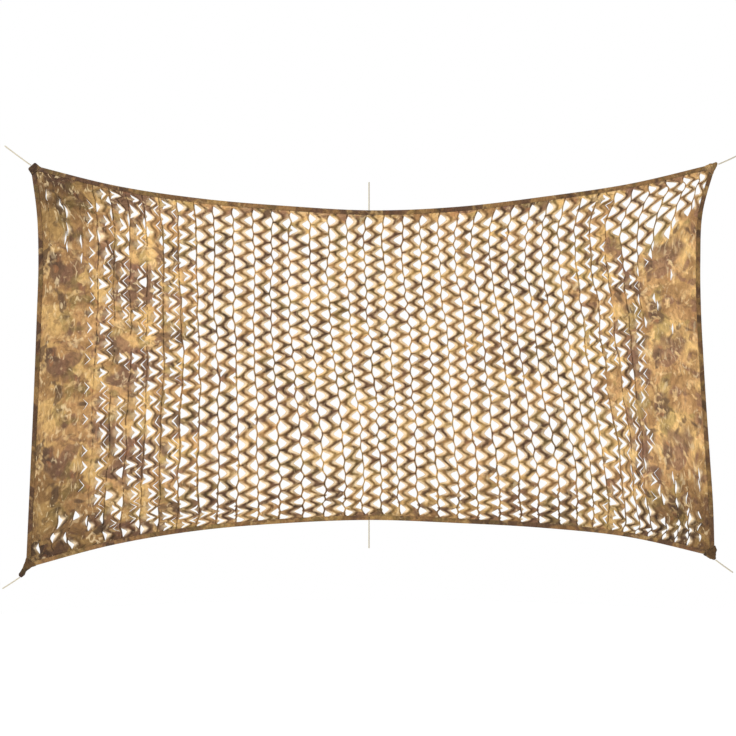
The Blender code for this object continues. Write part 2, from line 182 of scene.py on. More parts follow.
@dataclass(frozen=True)
class Panel:
    """The outline of the stretched panel and the waves of its cloth, as the solids have them.

    The outline has nine even steps: top and bottom heights from left to right, and left and right places
    from top to bottom. A flat point of the panel has its height in y.
    """

    outline: Rows = (
        # top z, bottom z, left x, right x
        (0.199, -1.556, -1.473, 1.509), (0.107, -1.456, -1.444, 1.451), (0.051, -1.393, -1.438, 1.441),
        (0.019, -1.361, -1.445, 1.444), (0.000, -1.347, -1.453, 1.455), (0.016, -1.360, -1.462, 1.468),
        (0.060, -1.381, -1.472, 1.483), (0.116, -1.421, -1.482, 1.497), (0.204, -1.506, -1.492, 1.503),
    )
    waves: Rows = (
        # rise, length along x, length along z, start along x, start along z
        (0.0050, 1.30, 1.70, 0.15, 0.30), (0.0030, 0.46, 0.83, 0.60, 0.10),
        (0.0022, 0.21, 0.37, 0.25, 0.70),
    )
    pucker_rise: float = 0.0055
    pucker_lengths: Pair = (0.115, 0.29)
    pucker_swerve: float = 2.0
    pucker_swerve_length: float = 1.25
    pucker_fade: Pair = (0.080, 0.210)
    wave_fade: Pair = (0.026, 0.110)
    corner_cuts: tuple[tuple[Corner, float], ...] = (
        (Corner.TOP_LEFT, 0.050),
        (Corner.TOP_RIGHT, 0.052),
        (Corner.BOTTOM_LEFT, 0.047),
        (Corner.BOTTOM_RIGHT, 0.047),
    )

    def edge_value(self, side: Side, share: float) -> float:
        """Read the height of a level edge, or the x of an upright one, at a share of its length.

        Args:
            side: The edge.
            share: How far along it, from the left or from the top.

        Returns:
            The value there, on a smooth curve through the outline's rows.
        """
        column = list(Side).index(side)
        last = len(self.outline) - 1
        place = min(max(share, 0.0), 1.0) * last
        row = min(int(place), last - 1)
        step = place - row
        low, high = self.outline[row][column], self.outline[row + 1][column]
        before = self.outline[row - 1][column] if row > 0 else 2 * low - high
        after = self.outline[row + 2][column] if row + 2 <= last else 2 * high - low
        slope_in, slope_out = (high - before) / 2, (after - low) / 2
        square, cube = step * step, step * step * step
        start = (2 * cube - 3 * square + 1) * low + (cube - 2 * square + step) * slope_in
        return start + (3 * square - 2 * cube) * high + (cube - square) * slope_out

    def share_across(self, x: float) -> float:
        """Share of the top edge's width at which a place stands."""
        _, _, left, right = self.outline[0]
        return (x - left) / (right - left)

    def above(self, point: Vector) -> float:
        """How high a flat point lies above the bottom edge."""
        return point.y - self.edge_value(Side.BOTTOM, self.share_across(point.x))

    def place(self, across: float, down: float) -> Vector:
        """Place a point of the panel, given as shares of its width and height, between its edges.

        Args:
            across: Share of the width, from the left.
            down: Share of the height, from the top.

        Returns:
            The flat point.
        """
        first, last = self.outline[0], self.outline[-1]
        top = Vector((blend(first[2], first[3], across), self.edge_value(Side.TOP, across)))
        bottom = Vector((blend(last[2], last[3], across), self.edge_value(Side.BOTTOM, across)))
        left = Vector((self.edge_value(Side.LEFT, down), blend(first[0], first[1], down)))
        right = Vector((self.edge_value(Side.RIGHT, down), blend(last[0], last[1], down)))
        straight_top = Vector((top.x, blend(first[0], last[0], across)))
        straight_bottom = Vector((bottom.x, blend(first[1], last[1], across)))
        crossed = blend(straight_top, straight_bottom, down)
        return blend(top, bottom, down) + blend(left, right, across) - crossed

    def height(self, across: float) -> float:
        """Height of the panel at a share of its width."""
        return self.edge_value(Side.TOP, across) - self.edge_value(Side.BOTTOM, across)

    def width(self, down: float) -> float:
        """Width of the panel at a share of its height."""
        return self.edge_value(Side.RIGHT, down) - self.edge_value(Side.LEFT, down)

    def border_point(self, side: Side, along: float, depth: float) -> Vector:
        """Place a point at a depth inside one edge."""
        if side.is_level:
            share = depth / self.height(along)
            return self.place(along, share if side is Side.TOP else 1.0 - share)
        share = depth / self.width(along)
        return self.place(share if side is Side.LEFT else 1.0 - share, along)

    def side_length(self, side: Side) -> float:
        """Straight length of one side from corner to corner."""
        return (self.border_point(side, 0.0, 0.0) - self.border_point(side, 1.0, 0.0)).length

    def cut_share(self, side: Side, corner: Corner) -> float:
        """Share along a side at which the corner's cut meets it."""
        share = dict(self.corner_cuts)[corner] / self.side_length(side)
        return 1.0 - share if corner.is_end(side) else share

    def cut_ends(self, corner: Corner) -> tuple[Vector, Vector]:
        """The outline points that the corner's cut runs between: on the level edge, then on the other."""
        edge, flank = corner.value
        on_edge = self.border_point(edge, self.cut_share(edge, corner), 0.0)
        return on_edge, self.border_point(flank, self.cut_share(flank, corner), 0.0)

    def tip(self, corner: Corner) -> Vector:
        """The corner of the outline itself."""
        edge = corner.value[0]
        return self.border_point(edge, 1.0 if corner.is_end(edge) else 0.0, 0.0)

    def cut_pull(self, corner: Corner) -> Vector:
        """The way that points straight out of the corner's cut."""
        on_edge, on_flank = self.cut_ends(corner)
        run = (on_edge - on_flank).normalized()
        pull = Vector((run.y, -run.x))
        if pull.dot(self.tip(corner) - on_edge) < 0:
            pull.negate()
        return pull

    def cut_point(self, corner: Corner, side: Side, depth: float) -> Vector:
        """Place a point on the corner's cut, at a depth inside one of its two sides."""
        on_edge, on_flank = self.cut_ends(corner)
        start, stop = (on_edge, on_flank) if side.is_level else (on_flank, on_edge)
        run = (stop - start).normalized()
        lean = abs(run.cross((self.tip(corner) - start).normalized()))
        return start + run * (depth / lean)

    def corners_of(self, side: Side) -> tuple[Corner, Corner]:
        """The corners at the start and the end of a side."""
        found = [corner for corner in Corner if side in corner.value]
        return tuple(sorted(found, key=lambda corner: corner.is_end(side)))

    def side_points(self, side: Side, depth: float, steps: int) -> list[Vector]:
        """Points along one side at a depth, from one corner's cut to the other's.

        Args:
            side: The side.
            depth: How far inside its edge the points lie.
            steps: Number of steps between the points.

        Returns:
            The flat points, from the left or from the top.
        """
        start, stop = self.corners_of(side)
        low, high = self.cut_share(side, start), self.cut_share(side, stop)
        points = [self.cut_point(start, side, depth)]
        points += [self.border_point(side, blend(low, high, step / steps), depth) for step in range(1, steps)]
        points.append(self.cut_point(stop, side, depth))
        return points

    def depths(self, point: Vector) -> Pair:
        """How far a point lies inside the nearest edge, and inside the nearer upright edge.

        Args:
            point: A flat point.

        Returns:
            Both distances; they are below 0 outside the panel.
        """
        across = self.share_across(point.x)
        top, bottom = self.edge_value(Side.TOP, across), self.edge_value(Side.BOTTOM, across)
        down = (top - point.y) / (top - bottom)
        left, right = self.edge_value(Side.LEFT, down), self.edge_value(Side.RIGHT, down)
        from_side = min(point.x - left, right - point.x)
        return min(top - point.y, point.y - bottom, from_side), from_side

    def relief(self, point: Vector) -> float:
        """How far the cloth stands out from the flat plane at a point.

        Args:
            point: A flat point.

        Returns:
            The place through the thickness of the cloth's middle.
        """
        from_edge, from_side = self.depths(point)
        height = 0.0
        for rise, length_x, length_z, start_x, start_z in self.waves:
            along_x = math.sin(math.tau * (point.x / length_x + start_x))
            height += rise * along_x * math.cos(math.tau * (point.y / length_z + start_z))
        swerve = self.pucker_swerve * math.sin(math.tau * point.y / self.pucker_swerve_length)
        fold = math.sin(math.tau * point.x / self.pucker_lengths[0] + swerve)
        fold *= math.cos(math.tau * point.y / self.pucker_lengths[1])
        height += self.pucker_rise * fold * (1.0 - smooth_step(*self.pucker_fade, from_side))
        return height * smooth_step(*self.wave_fade, from_edge)


class NodeSheet:
    """Adds nodes to one node tree and joins them up."""

    def __init__(self, tree: bpy.types.NodeTree) -> None:
        """Take the tree that the nodes go to."""
        self.tree = tree

    def feed(self, node: bpy.types.Node, inputs: dict[str | int, Value]) -> None:
        """Give a node's inputs their values, or join them to the sockets that feed them."""
        for key, value in inputs.items():
            if isinstance(value, Socket):
                self.tree.links.new(value, node.inputs[key])
            else:
                node.inputs[key].default_value = value

    def add(
        self, kind: str, inputs: dict[str | int, Value], output: str | int = 0, **settings: object
    ) -> Socket:
        """Add one node.

        Args:
            kind: The node's type name.
            inputs: What each input takes: a value, or the socket that feeds it.
            output: The name or number of the output to return.
            **settings: The node's own settings.

        Returns:
            The node's chosen output.
        """
        node = self.tree.nodes.new(kind)
        for name, setting in settings.items():
            setattr(node, name, setting)
        self.feed(node, inputs)
        row, column = divmod(len(self.tree.nodes), NODES_IN_A_ROW)
        node.location = (column * NODE_SPACING[0], -row * NODE_SPACING[1])
        return node.outputs[output]

    def maths(self, operation: str, *values: Value) -> Socket:
        """Combine up to three numbers with one operation."""
        return self.add("ShaderNodeMath", dict(enumerate(values)), operation=operation)

    def times(self, first: Value, second: Value) -> Socket:
        """Multiply two numbers."""
        return self.maths("MULTIPLY", first, second)

    def vector(self, x: Value = 0.0, y: Value = 0.0, z: Value = 0.0) -> Socket:
        """Make a vector of three numbers."""
        return self.add("ShaderNodeCombineXYZ", {"X": x, "Y": y, "Z": z})

    def split(self, place: Socket) -> tuple[Socket, Socket, Socket]:
        """Take a place apart into its x, y and z."""
        outputs = self.add("ShaderNodeSeparateXYZ", {"Vector": place}).node.outputs
        return outputs["X"], outputs["Y"], outputs["Z"]

    def object_place(self) -> Socket:
        """The place in the object's own coordinates."""
        return self.add("ShaderNodeTexCoord", {}, "Object")

    def mark(self, name: str) -> Socket:
        """Read one of the marks on the mesh."""
        return self.add("ShaderNodeAttribute", {}, "Fac", attribute_name=name)

    def clouds(self, place: Socket, scale: float, detail: float = 2.0, stretch: float = 0.0) -> Socket:
        """Soft noise from 0 to 1 at a number of blotches per metre; stretch bends its outlines."""
        inputs = {"Vector": place, "Scale": scale, "Detail": detail, "Distortion": stretch}
        return self.add("ShaderNodeTexNoise", inputs, "Fac")

    def rise(self, value: Value, low: float, high: float) -> Socket:
        """A mask that rises smoothly from 0 at low to 1 at high."""
        inputs = {"Value": value, "From Min": low, "From Max": high}
        return self.add("ShaderNodeMapRange", inputs, interpolation_type="SMOOTHSTEP")

    def mix(self, share: Value, low: Value, high: Value, blend_type: str = "MIX") -> Socket:
        """Mix two colours."""
        inputs = {0: share, 6: low, 7: high}
        return self.add("ShaderNodeMix", inputs, 2, data_type="RGBA", blend_type=blend_type)

    def warm_shade(self, colour: Value, light: Socket) -> Socket:
        """Shade a colour, so that it gets the warmer the darker it is."""
        channels = [self.maths("POWER", light, power) for power in WARMTH]
        return self.mix(1.0, colour, self.vector(*channels), "MULTIPLY")

    def bump(
        self, height: Socket, strength: float, distance: float, below: Socket | None = None
    ) -> Socket:
        """Raise the surface by a height, on top of the bump below if there is one."""
        inputs = {"Height": height, "Strength": strength, "Distance": distance}
        if below is not None:
            inputs["Normal"] = below
        return self.add("ShaderNodeBump", inputs, "Normal")

    def group(self, group: bpy.types.NodeTree, inputs: dict[str | int, Value], output: str) -> Socket:
        """Place a node group and return one of its outputs."""
        return self.add("ShaderNodeGroup", inputs, output, node_tree=group)


def new_group(
    name: str, inputs: dict[str, str], outputs: dict[str, str]
) -> tuple[NodeSheet, bpy.types.NodeOutputs, bpy.types.Node]:
    """Start a shader node group.

    Args:
        name: The group's name.
        inputs: Kind of socket for each input: Float, Vector or Color.
        outputs: Kind of socket for each output.

    Returns:
        The sheet to add nodes with, the sockets that it is given and the node that takes the outputs.
    """
    tree = bpy.data.node_groups.new(name, "ShaderNodeTree")
    for in_out, sockets in (("INPUT", inputs), ("OUTPUT", outputs)):
        for label, kind in sockets.items():
            tree.interface.new_socket(name=label, in_out=in_out, socket_type=f"NodeSocket{kind}")
    given = tree.nodes.new("NodeGroupInput")
    return NodeSheet(tree), given.outputs, tree.nodes.new("NodeGroupOutput")


@dataclass(frozen=True)
class CamouflagePrint:
    """The print of the cloth: soft blotches of earth colours that repeat down the cloth.

    Each layer is laid over the ones before it where its own noise passes a threshold.
    """

    repeat: float = 0.37
    base: Colour = (194, 149, 97)
    layers: tuple[tuple[Colour, float, float, float, float, float], ...] = (
        # colour, blotches a metre, low threshold, high threshold, strength, start along the cloth
        ((222, 180, 114), 7.5, 0.46, 0.60, 0.90, 3.1),
        ((152, 112, 70), 7.0, 0.50, 0.59, 0.80, 11.7),
        ((118, 86, 66), 7.0, 0.54, 0.61, 0.88, 17.3),
        ((134, 96, 74), 11.0, 0.55, 0.62, 0.75, 23.9),
        ((146, 126, 72), 11.0, 0.56, 0.64, 0.55, 31.3),
        ((96, 72, 54), 13.0, 0.59, 0.67, 0.80, 47.1),
        ((234, 196, 138), 26.0, 0.57, 0.69, 0.70, 59.5),
        ((180, 120, 76), 20.0, 0.65, 0.72, 0.40, 71.2),
        ((104, 76, 52), 34.0, 0.59, 0.69, 0.50, 83.7),
    )
    stretch: float = 0.5
    mottle_scales: Pair = (95.0, 42.0)
    mottle_range: Pair = (0.3, 0.7)
    mottle_strength: float = 0.34

    def group(self) -> bpy.types.NodeTree:
        """Build the group: it takes a place on the cloth in metres and a tone, and gives the colour."""
        inputs = {"Cloth": "Vector", "Tone": "Float"}
        sheet, given, taken = new_group("camouflage_print", inputs, {"Color": "Color"})
        x, y, _ = sheet.split(given["Cloth"])
        turn, radius = sheet.times(y, math.tau / self.repeat), self.repeat / math.tau
        ring_y, ring_z = (sheet.times(sheet.maths(wave, turn), radius) for wave in ("COSINE", "SINE"))
        colour: Value = linear(self.base)
        for shade, scale, low, high, strength, start in self.layers:
            place = sheet.vector(sheet.maths("ADD", x, start), ring_y, ring_z)
            blotches = sheet.rise(sheet.clouds(place, scale, stretch=self.stretch), low, high)
            colour = sheet.mix(sheet.times(blotches, strength), colour, linear(shade))
        across, down = (sheet.times(axis, scale) for axis, scale in zip((x, y), self.mottle_scales))
        mottle = sheet.rise(sheet.clouds(sheet.vector(across, down), 1.0, FINE_DETAIL), *self.mottle_range)
        light = sheet.maths("MULTIPLY_ADD", mottle, self.mottle_strength, 1.0 - self.mottle_strength / 2)
        sheet.feed(taken, {"Color": sheet.warm_shade(colour, sheet.times(light, given["Tone"]))})
        return sheet.tree


@dataclass(frozen=True)
class PlainWeave:
    """A plain weave: threads that pass over and under each other."""

    crossing: float = 0.2

    def group(self) -> bpy.types.NodeTree:
        """Build the group: it takes a place in metres and the threads a metre, and gives the height."""
        inputs = {"Cloth": "Vector", "Threads": "Float"}
        sheet, given, taken = new_group("plain_weave", inputs, {"Height": "Float"})
        x, y, _ = sheet.split(given["Cloth"])
        phases = [sheet.times(sheet.times(axis, given["Threads"]), math.pi) for axis in (x, y)]
        waves = [sheet.maths("SINE", phase) for phase in phases]
        choice = sheet.rise(sheet.times(*waves), -self.crossing, self.crossing)
        across, down = (sheet.maths("ABSOLUTE", wave) for wave in waves)
        height = sheet.add("ShaderNodeMix", {0: choice, 2: across, 3: down}, 0, data_type="FLOAT")
        sheet.feed(taken, {"Height": height})
        return sheet.tree


@dataclass(frozen=True)
class WrinkleLightAndShade:
    """Short, slanting wrinkle strokes of the cloth, in patches: painted highlights on the crests and painted
    shade in the hollows.
    """

    scales: Pair = (50.0, 19.0)
    stretch: float = 1.6
    crest: Pair = (0.56, 0.68)
    hollow: Pair = (0.44, 0.34)
    patch_scale: float = 17.0
    patch_range: Pair = (0.42, 0.58)

    def group(self) -> bpy.types.NodeTree:
        """Build the group: it takes a place in metres and gives masks of the painted highlights and the
        painted shade.
        """
        sheet, given, taken = new_group("wrinkle_light_and_shade", {"Cloth": "Vector"}, {"Light": "Float", "Dark": "Float"})
        x, y, _ = sheet.split(given["Cloth"])
        across, down = (sheet.times(axis, scale) for axis, scale in zip((x, y), self.scales))
        relief = sheet.clouds(sheet.vector(across, down), 1.0, 1.0, self.stretch)
        patches = sheet.rise(sheet.clouds(given["Cloth"], self.patch_scale), *self.patch_range)
        for label, levels in (("Light", self.crest), ("Dark", self.hollow)):
            sheet.feed(taken, {label: sheet.times(sheet.rise(relief, *levels), patches)})
        return sheet.tree


def principled(name: str, settings: dict[str, Value]) -> tuple[Material, NodeSheet, bpy.types.Node]:
    """Start a material.

    Args:
        name: The material's name.
        settings: The values of the Principled BSDF that are the same all over.

    Returns:
        The material, the sheet to add nodes with and the Principled BSDF.
    """
    material = bpy.data.materials.new(name)
    material.use_nodes = True
    shader = material.node_tree.nodes["Principled BSDF"]
    sheet = NodeSheet(material.node_tree)
    sheet.feed(shader, settings)
    return material, sheet, shader


@dataclass(frozen=True)
class PrintedCloth:
    """Printed polyester cloth of the tapes and tabs, with its weave and soft creases."""

    name: str
    pattern: bpy.types.NodeTree
    weave: bpy.types.NodeTree
    tone: float = 1.0
    threads: float = 700.0
    sheen: float = 0.12
    sheen_roughness: float = 0.45
    specular: float = 0.25
    roughness: float = 0.70
    rough_spread: float = 0.16
    rough_scale: float = 24.0
    crease_scale: float = 62.0
    crease_stretch: float = 1.2
    crease_depth: float = 0.0088
    thread_strength: float = 0.5
    thread_depth: float = 0.0004

    def cloth_place(self, sheet: NodeSheet) -> Socket:
        """Lay the cloth on the object's own x and z."""
        x, _, z = sheet.split(sheet.object_place())
        return sheet.vector(x, z)

    def cloth_tone(self, sheet: NodeSheet) -> Value:
        """How light the cloth is; a tape has one tone all over."""
        return self.tone

    def dressed(self, sheet: NodeSheet, cloth: Socket, colour: Socket) -> Socket:
        """Finish the colour of the print; on tape it stays as printed."""
        return colour

    def material(self) -> Material:
        """Build the material from the print, the weave and the creases."""
        settings = {
            "Sheen Weight": self.sheen,
            "Sheen Roughness": self.sheen_roughness,
            "Specular IOR Level": self.specular,
        }
        material, sheet, shader = principled(self.name, settings)
        cloth = self.cloth_place(sheet)
        colour = sheet.group(self.pattern, {"Cloth": cloth, "Tone": self.cloth_tone(sheet)}, "Color")
        uneven_patches = sheet.clouds(cloth, self.rough_scale, FINE_DETAIL)
        creases = sheet.clouds(cloth, self.crease_scale, FINE_DETAIL, self.crease_stretch)
        soft = sheet.bump(creases, 1.0, self.crease_depth)
        height = sheet.group(self.weave, {"Cloth": cloth, "Threads": self.threads}, "Height")
        finish = {
            "Base Color": self.dressed(sheet, cloth, colour),
            "Roughness": sheet.maths("MULTIPLY_ADD", uneven_patches, self.rough_spread, self.roughness),
            "Normal": sheet.bump(height, self.thread_strength, self.thread_depth, soft),
        }
        sheet.feed(shader, finish)
        return material


@dataclass(frozen=True)
class NetPrint(PrintedCloth):
    """The net's printed cloth: painted light and shade of wrinkle strokes, painted shade of folds and column
    lines, painted highlights of cut edges.
    """

    threads: float = 900.0
    wrinkle_light_and_shade: WrinkleLightAndShade = WrinkleLightAndShade()
    strokes: tuple[tuple[str, float, Colour], ...] = (
        # output of the wrinkle group, strength, colour: painted shade in the hollows, painted highlight on
        # the crests
        ("Dark", 0.42, (96, 72, 52)),
        ("Light", 0.50, (240, 214, 168)),
    )
    # Painted highlights on the cut edges, where the curled ribbon edges catch the light.
    edge_highlight_colour: Colour = (255, 228, 188)
    edge_highlight_range: Pair = (0.10, 0.75)
    edge_highlight_strengths: Pair = (0.5225, 0.4275)
    # Patches in which a line, an edge or a fold is broken: patches a metre, low and high threshold.
    edge_highlight_patches: Triple = (13.0, 0.38, 0.60)
    core_patches: Triple = (34.0, 0.30, 0.65)
    line_patches: Triple = (55.0, 0.34, 0.50)
    # Painted shade along the broken column lines and in the cores of the folds, where the ribbons turn
    # edge-on.
    column: float = 2.27 / 39
    line_width: float = 0.0038
    line_shade: float = 0.30
    fold_shade: float = 0.33
    core_strengths: Pair = (0.6, 0.45)
    core_range: Pair = (0.45, 0.98)
    line_range: Pair = (0.02, 0.16)

    def cloth_place(self, sheet: NodeSheet) -> Socket:
        """Lay the cloth by its own map, so that the print follows the ribbons."""
        return sheet.add("ShaderNodeUVMap", {}, uv_map=CLOTH_MAP)

    def cloth_tone(self, sheet: NodeSheet) -> Value:
        """How light the cloth is, as marked on the mesh."""
        return sheet.mark(TONE_MARK)

    def paint_edge_highlights(self, sheet: NodeSheet, cloth: Socket, colour: Socket) -> Socket:
        """Paint highlights on the cut edges, where they curl and catch the light, stronger in some patches
        than in others.
        """
        scale, *levels = self.edge_highlight_patches
        uneven_patches = sheet.rise(sheet.clouds(cloth, scale, FINE_DETAIL), *levels)
        least, more = self.edge_highlight_strengths
        strength = sheet.maths("MULTIPLY_ADD", uneven_patches, more, least)
        edge = sheet.rise(sheet.mark(EDGE_HIGHLIGHT_MARK), *self.edge_highlight_range)
        return sheet.mix(sheet.times(edge, strength), colour, linear(self.edge_highlight_colour))

    def fold_light(self, sheet: NodeSheet, cloth: Socket) -> Socket:
        """How much light is left in the folds and along the broken column lines.

        Args:
            sheet: The sheet to add nodes with.
            cloth: The place on the cloth.

        Returns:
            The light, from 0 to 1.
        """
        fold = sheet.mark(FOLD_MARK)
        core_patch, line_patch = (
            sheet.rise(sheet.clouds(cloth, scale), *levels)
            for scale, *levels in (self.core_patches, self.line_patches)
        )
        least, more = self.core_strengths
        strength = sheet.maths("MULTIPLY_ADD", core_patch, more, least)
        core = sheet.times(sheet.rise(fold, *self.core_range), strength)
        x, _, _ = sheet.split(cloth)
        off = sheet.maths("PINGPONG", x, self.column / 2)
        line = sheet.maths("SUBTRACT", 1.0, sheet.rise(off, self.line_width / 3, self.line_width))
        line = sheet.times(sheet.times(line, line_patch), sheet.rise(fold, *self.line_range))
        shades = ((core, self.fold_shade), (line, self.line_shade))
        return sheet.times(*(sheet.maths("MULTIPLY_ADD", mask, shade - 1.0, 1.0) for mask, shade in shades))

    def dressed(self, sheet: NodeSheet, cloth: Socket, colour: Socket) -> Socket:
        """Paint the light and shade of the wrinkle strokes, the cut edges' highlights and the folds' shade
        onto the print.

        Args:
            sheet: The sheet to add nodes with.
            cloth: The place on the cloth.
            colour: The print.

        Returns:
            The finished colour.
        """
        wrinkle_light_and_shade = self.wrinkle_light_and_shade.group()
        for output, strength, paint in self.strokes:
            stroke = sheet.group(wrinkle_light_and_shade, {"Cloth": cloth}, output)
            colour = sheet.mix(sheet.times(stroke, strength), colour, linear(paint))
        colour = self.paint_edge_highlights(sheet, cloth, colour)
        return sheet.warm_shade(colour, self.fold_light(sheet, cloth))


@dataclass(frozen=True)
class CordYarn:
    """Pale twisted cord, darker in the grooves between its strands and dirty in random patches."""

    name: str = "tie_cord"
    colour: Colour = (214, 206, 186)
    dirt_and_groove_colour: Colour = (150, 138, 112)
    groove_darkening: float = 0.6
    cloud_dirt: float = 0.5
    cloud_scale: float = 40.0
    fibre_scale: float = 900.0
    fibre_strength: float = 0.4
    fibre_depth: float = 0.0003
    roughness: Pair = (0.65, 0.2)
    sheen: float = 0.15
    specular: float = 0.3

    def material(self) -> Material:
        """Build the material from the groove mark and fine fibres."""
        settings = {"Sheen Weight": self.sheen, "Specular IOR Level": self.specular}
        material, sheet, shader = principled(self.name, settings)
        place = sheet.object_place()
        dirt = sheet.times(sheet.clouds(place, self.cloud_scale, FINE_DETAIL), self.cloud_dirt)
        # Darker in the grooves between the strands, and dirty where the clouds fall.
        share = sheet.maths("MULTIPLY_ADD", sheet.mark(GROOVE_MARK), self.groove_darkening, dirt)
        fibres = sheet.clouds(place, self.fibre_scale, stretch=1.0)
        least, more = self.roughness
        finish = {
            "Base Color": sheet.mix(share, linear(self.colour), linear(self.dirt_and_groove_colour)),
            "Roughness": sheet.maths("MULTIPLY_ADD", fibres, more, least),
            "Normal": sheet.bump(fibres, self.fibre_strength, self.fibre_depth),
        }
        sheet.feed(shader, finish)
        return material


@dataclass(frozen=True)
class SewingThread:
    """Waxed sewing thread."""

    name: str = "sewing_thread"
    colour: Colour = (120, 96, 66)
    dark: Colour = (84, 64, 44)
    tone_scale: float = 160.0
    roughness: Pair = (0.5, 0.2)
    specular: float = 0.35

    def material(self) -> Material:
        """Build the material with a fine change of tone from stitch to stitch."""
        material, sheet, shader = principled(self.name, {"Specular IOR Level": self.specular})
        tone = sheet.clouds(sheet.object_place(), self.tone_scale)
        least, more = self.roughness
        finish = {
            "Base Color": sheet.mix(tone, linear(self.colour), linear(self.dark)),
            "Roughness": sheet.maths("MULTIPLY_ADD", tone, more, least),
        }
        sheet.feed(shader, finish)
        return material


def new_object(name: str, bm: BMesh, material: Material) -> Piece:
    """Turn a bmesh, which it frees, into a smooth-shaded object of the scene."""
    mesh = bpy.data.meshes.new(name)
    bm.to_mesh(mesh)
    bm.free()
    mesh.shade_smooth()
    mesh.materials.append(material)
    made = bpy.data.objects.new(name, mesh)
    bpy.context.scene.collection.objects.link(made)
    return made


def finish_piece(
    name: str, bm: BMesh, material: Material
) -> Piece:
    """Turn a bmesh into a piece of the net that rides on the body.

    Args:
        name: The piece's name.
        bm: The mesh, in the frame's coordinates; it is freed.
        material: The piece's material.

    Returns:
        The new object.
    """
    piece = new_object(name, bm, material)
    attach(piece, BODY)
    LOG.info("%s: %d faces", name, len(piece.data.polygons))
    return piece


def add_solidify(piece: Piece, thickness: float) -> None:
    """Give a sheet its thickness, half to each side."""
    wall = piece.modifiers.new("cloth_thickness", "SOLIDIFY")
    wall.thickness = thickness
    wall.offset = 0.0


def warped_grid(
    bm: BMesh, across: int, down: int, place: Callable[[int, int], Vector]
) -> VertRows:
    """Make a grid and move each of its vertices to its place.

    Args:
        bm: The mesh that takes the grid.
        across: Number of faces in a row.
        down: Number of rows of faces.
        place: Gives the place of a vertex from its numbers across and down.

    Returns:
        The vertices, as rows of columns.
    """
    made = bmesh.ops.create_grid(bm, x_segments=across, y_segments=down, size=1.0)
    rows = [[None] * (across + 1) for _ in range(down + 1)]
    for vert in made["verts"]:
        column = round((vert.co.x + 1.0) / 2.0 * across)
        row = round((1.0 - vert.co.y) / 2.0 * down)
        rows[row][column] = vert
    for row, verts in enumerate(rows):
        for column, vert in enumerate(verts):
            vert.co = place(column, row)
    return rows


def loft(bm: BMesh, rings: Sequence[list[Vector]]) -> VertRows:
    """Sweep a closed skin through rings of points, with a flat cap at each end.

    Args:
        bm: The mesh that takes the skin.
        rings: The rings, each with the same number of points.

    Returns:
        The vertices of each ring.
    """
    ring = bmesh.ops.create_circle(bm, cap_ends=False, segments=len(rings[0]), radius=1.0)["verts"]
    placed = [ring]
    edges = list({edge for vert in ring for edge in vert.link_edges})
    bmesh.ops.edgenet_fill(bm, edges=edges)
    for _ in rings[1:]:
        grown = bmesh.ops.extrude_edge_only(bm, edges=edges)["geom"]
        edges = [item for item in grown if isinstance(item, bmesh.types.BMEdge) and len(item.link_faces) == 1]
        fresh = {vert for edge in edges for vert in edge.verts}
        ordered = []
        for vert in placed[-1]:
            other = next(edge.other_vert(vert) for edge in vert.link_edges if edge.other_vert(vert) in fresh)
            ordered.append(other)
        placed.append(ordered)
    bmesh.ops.edgenet_fill(bm, edges=edges)
    for verts, points in zip(placed, rings):
        for vert, point in zip(verts, points):
            vert.co = point
    bmesh.ops.recalc_face_normals(bm, faces=bm.faces[:])
    return placed


@dataclass(frozen=True)
class Stitch:
    """One visible stitch: its middle, the way it runs, its length and its width."""

    middle: Vector
    run: Vector
    length: float
    width: float = 0.0009

    def add_to(self, bm: BMesh) -> None:
        """Add the stitch to a mesh as a slim bead of thread."""
        along = self.run.normalized()
        side = along.cross(Vector((0.0, 1.0, 0.0)))
        turn = Matrix((along, side, along.cross(side))).transposed().to_4x4()
        size = Matrix.Diagonal((self.length, self.width, self.width, 1.0))
        place = Matrix.Translation(self.middle) @ turn @ size
        bmesh.ops.create_uvsphere(bm, u_segments=6, v_segments=4, radius=0.5, matrix=place)


def sew(name: str, stitches: Sequence[Stitch], material: Material) -> None:
    """Join stitches into one piece of sewing, made in short runs that keep each mesh small.

    Args:
        name: The piece's name.
        stitches: The stitches.
        material: The thread.
    """
    whole = bmesh.new()
    for first in range(0, len(stitches), STITCHES_IN_A_RUN):
        part = bmesh.new()
        for stitch in stitches[first : first + STITCHES_IN_A_RUN]:
            stitch.add_to(part)
        mesh = bpy.data.meshes.new("stitches")
        part.to_mesh(mesh)
        part.free()
        whole.from_mesh(mesh)
        bpy.data.meshes.remove(mesh)
    finish_piece(name, whole, material)


@dataclass(frozen=True)
class Slit:
    """How wide one slit has opened and how far its point stands off its line, as shares of the column."""

    width: float
    reach: float


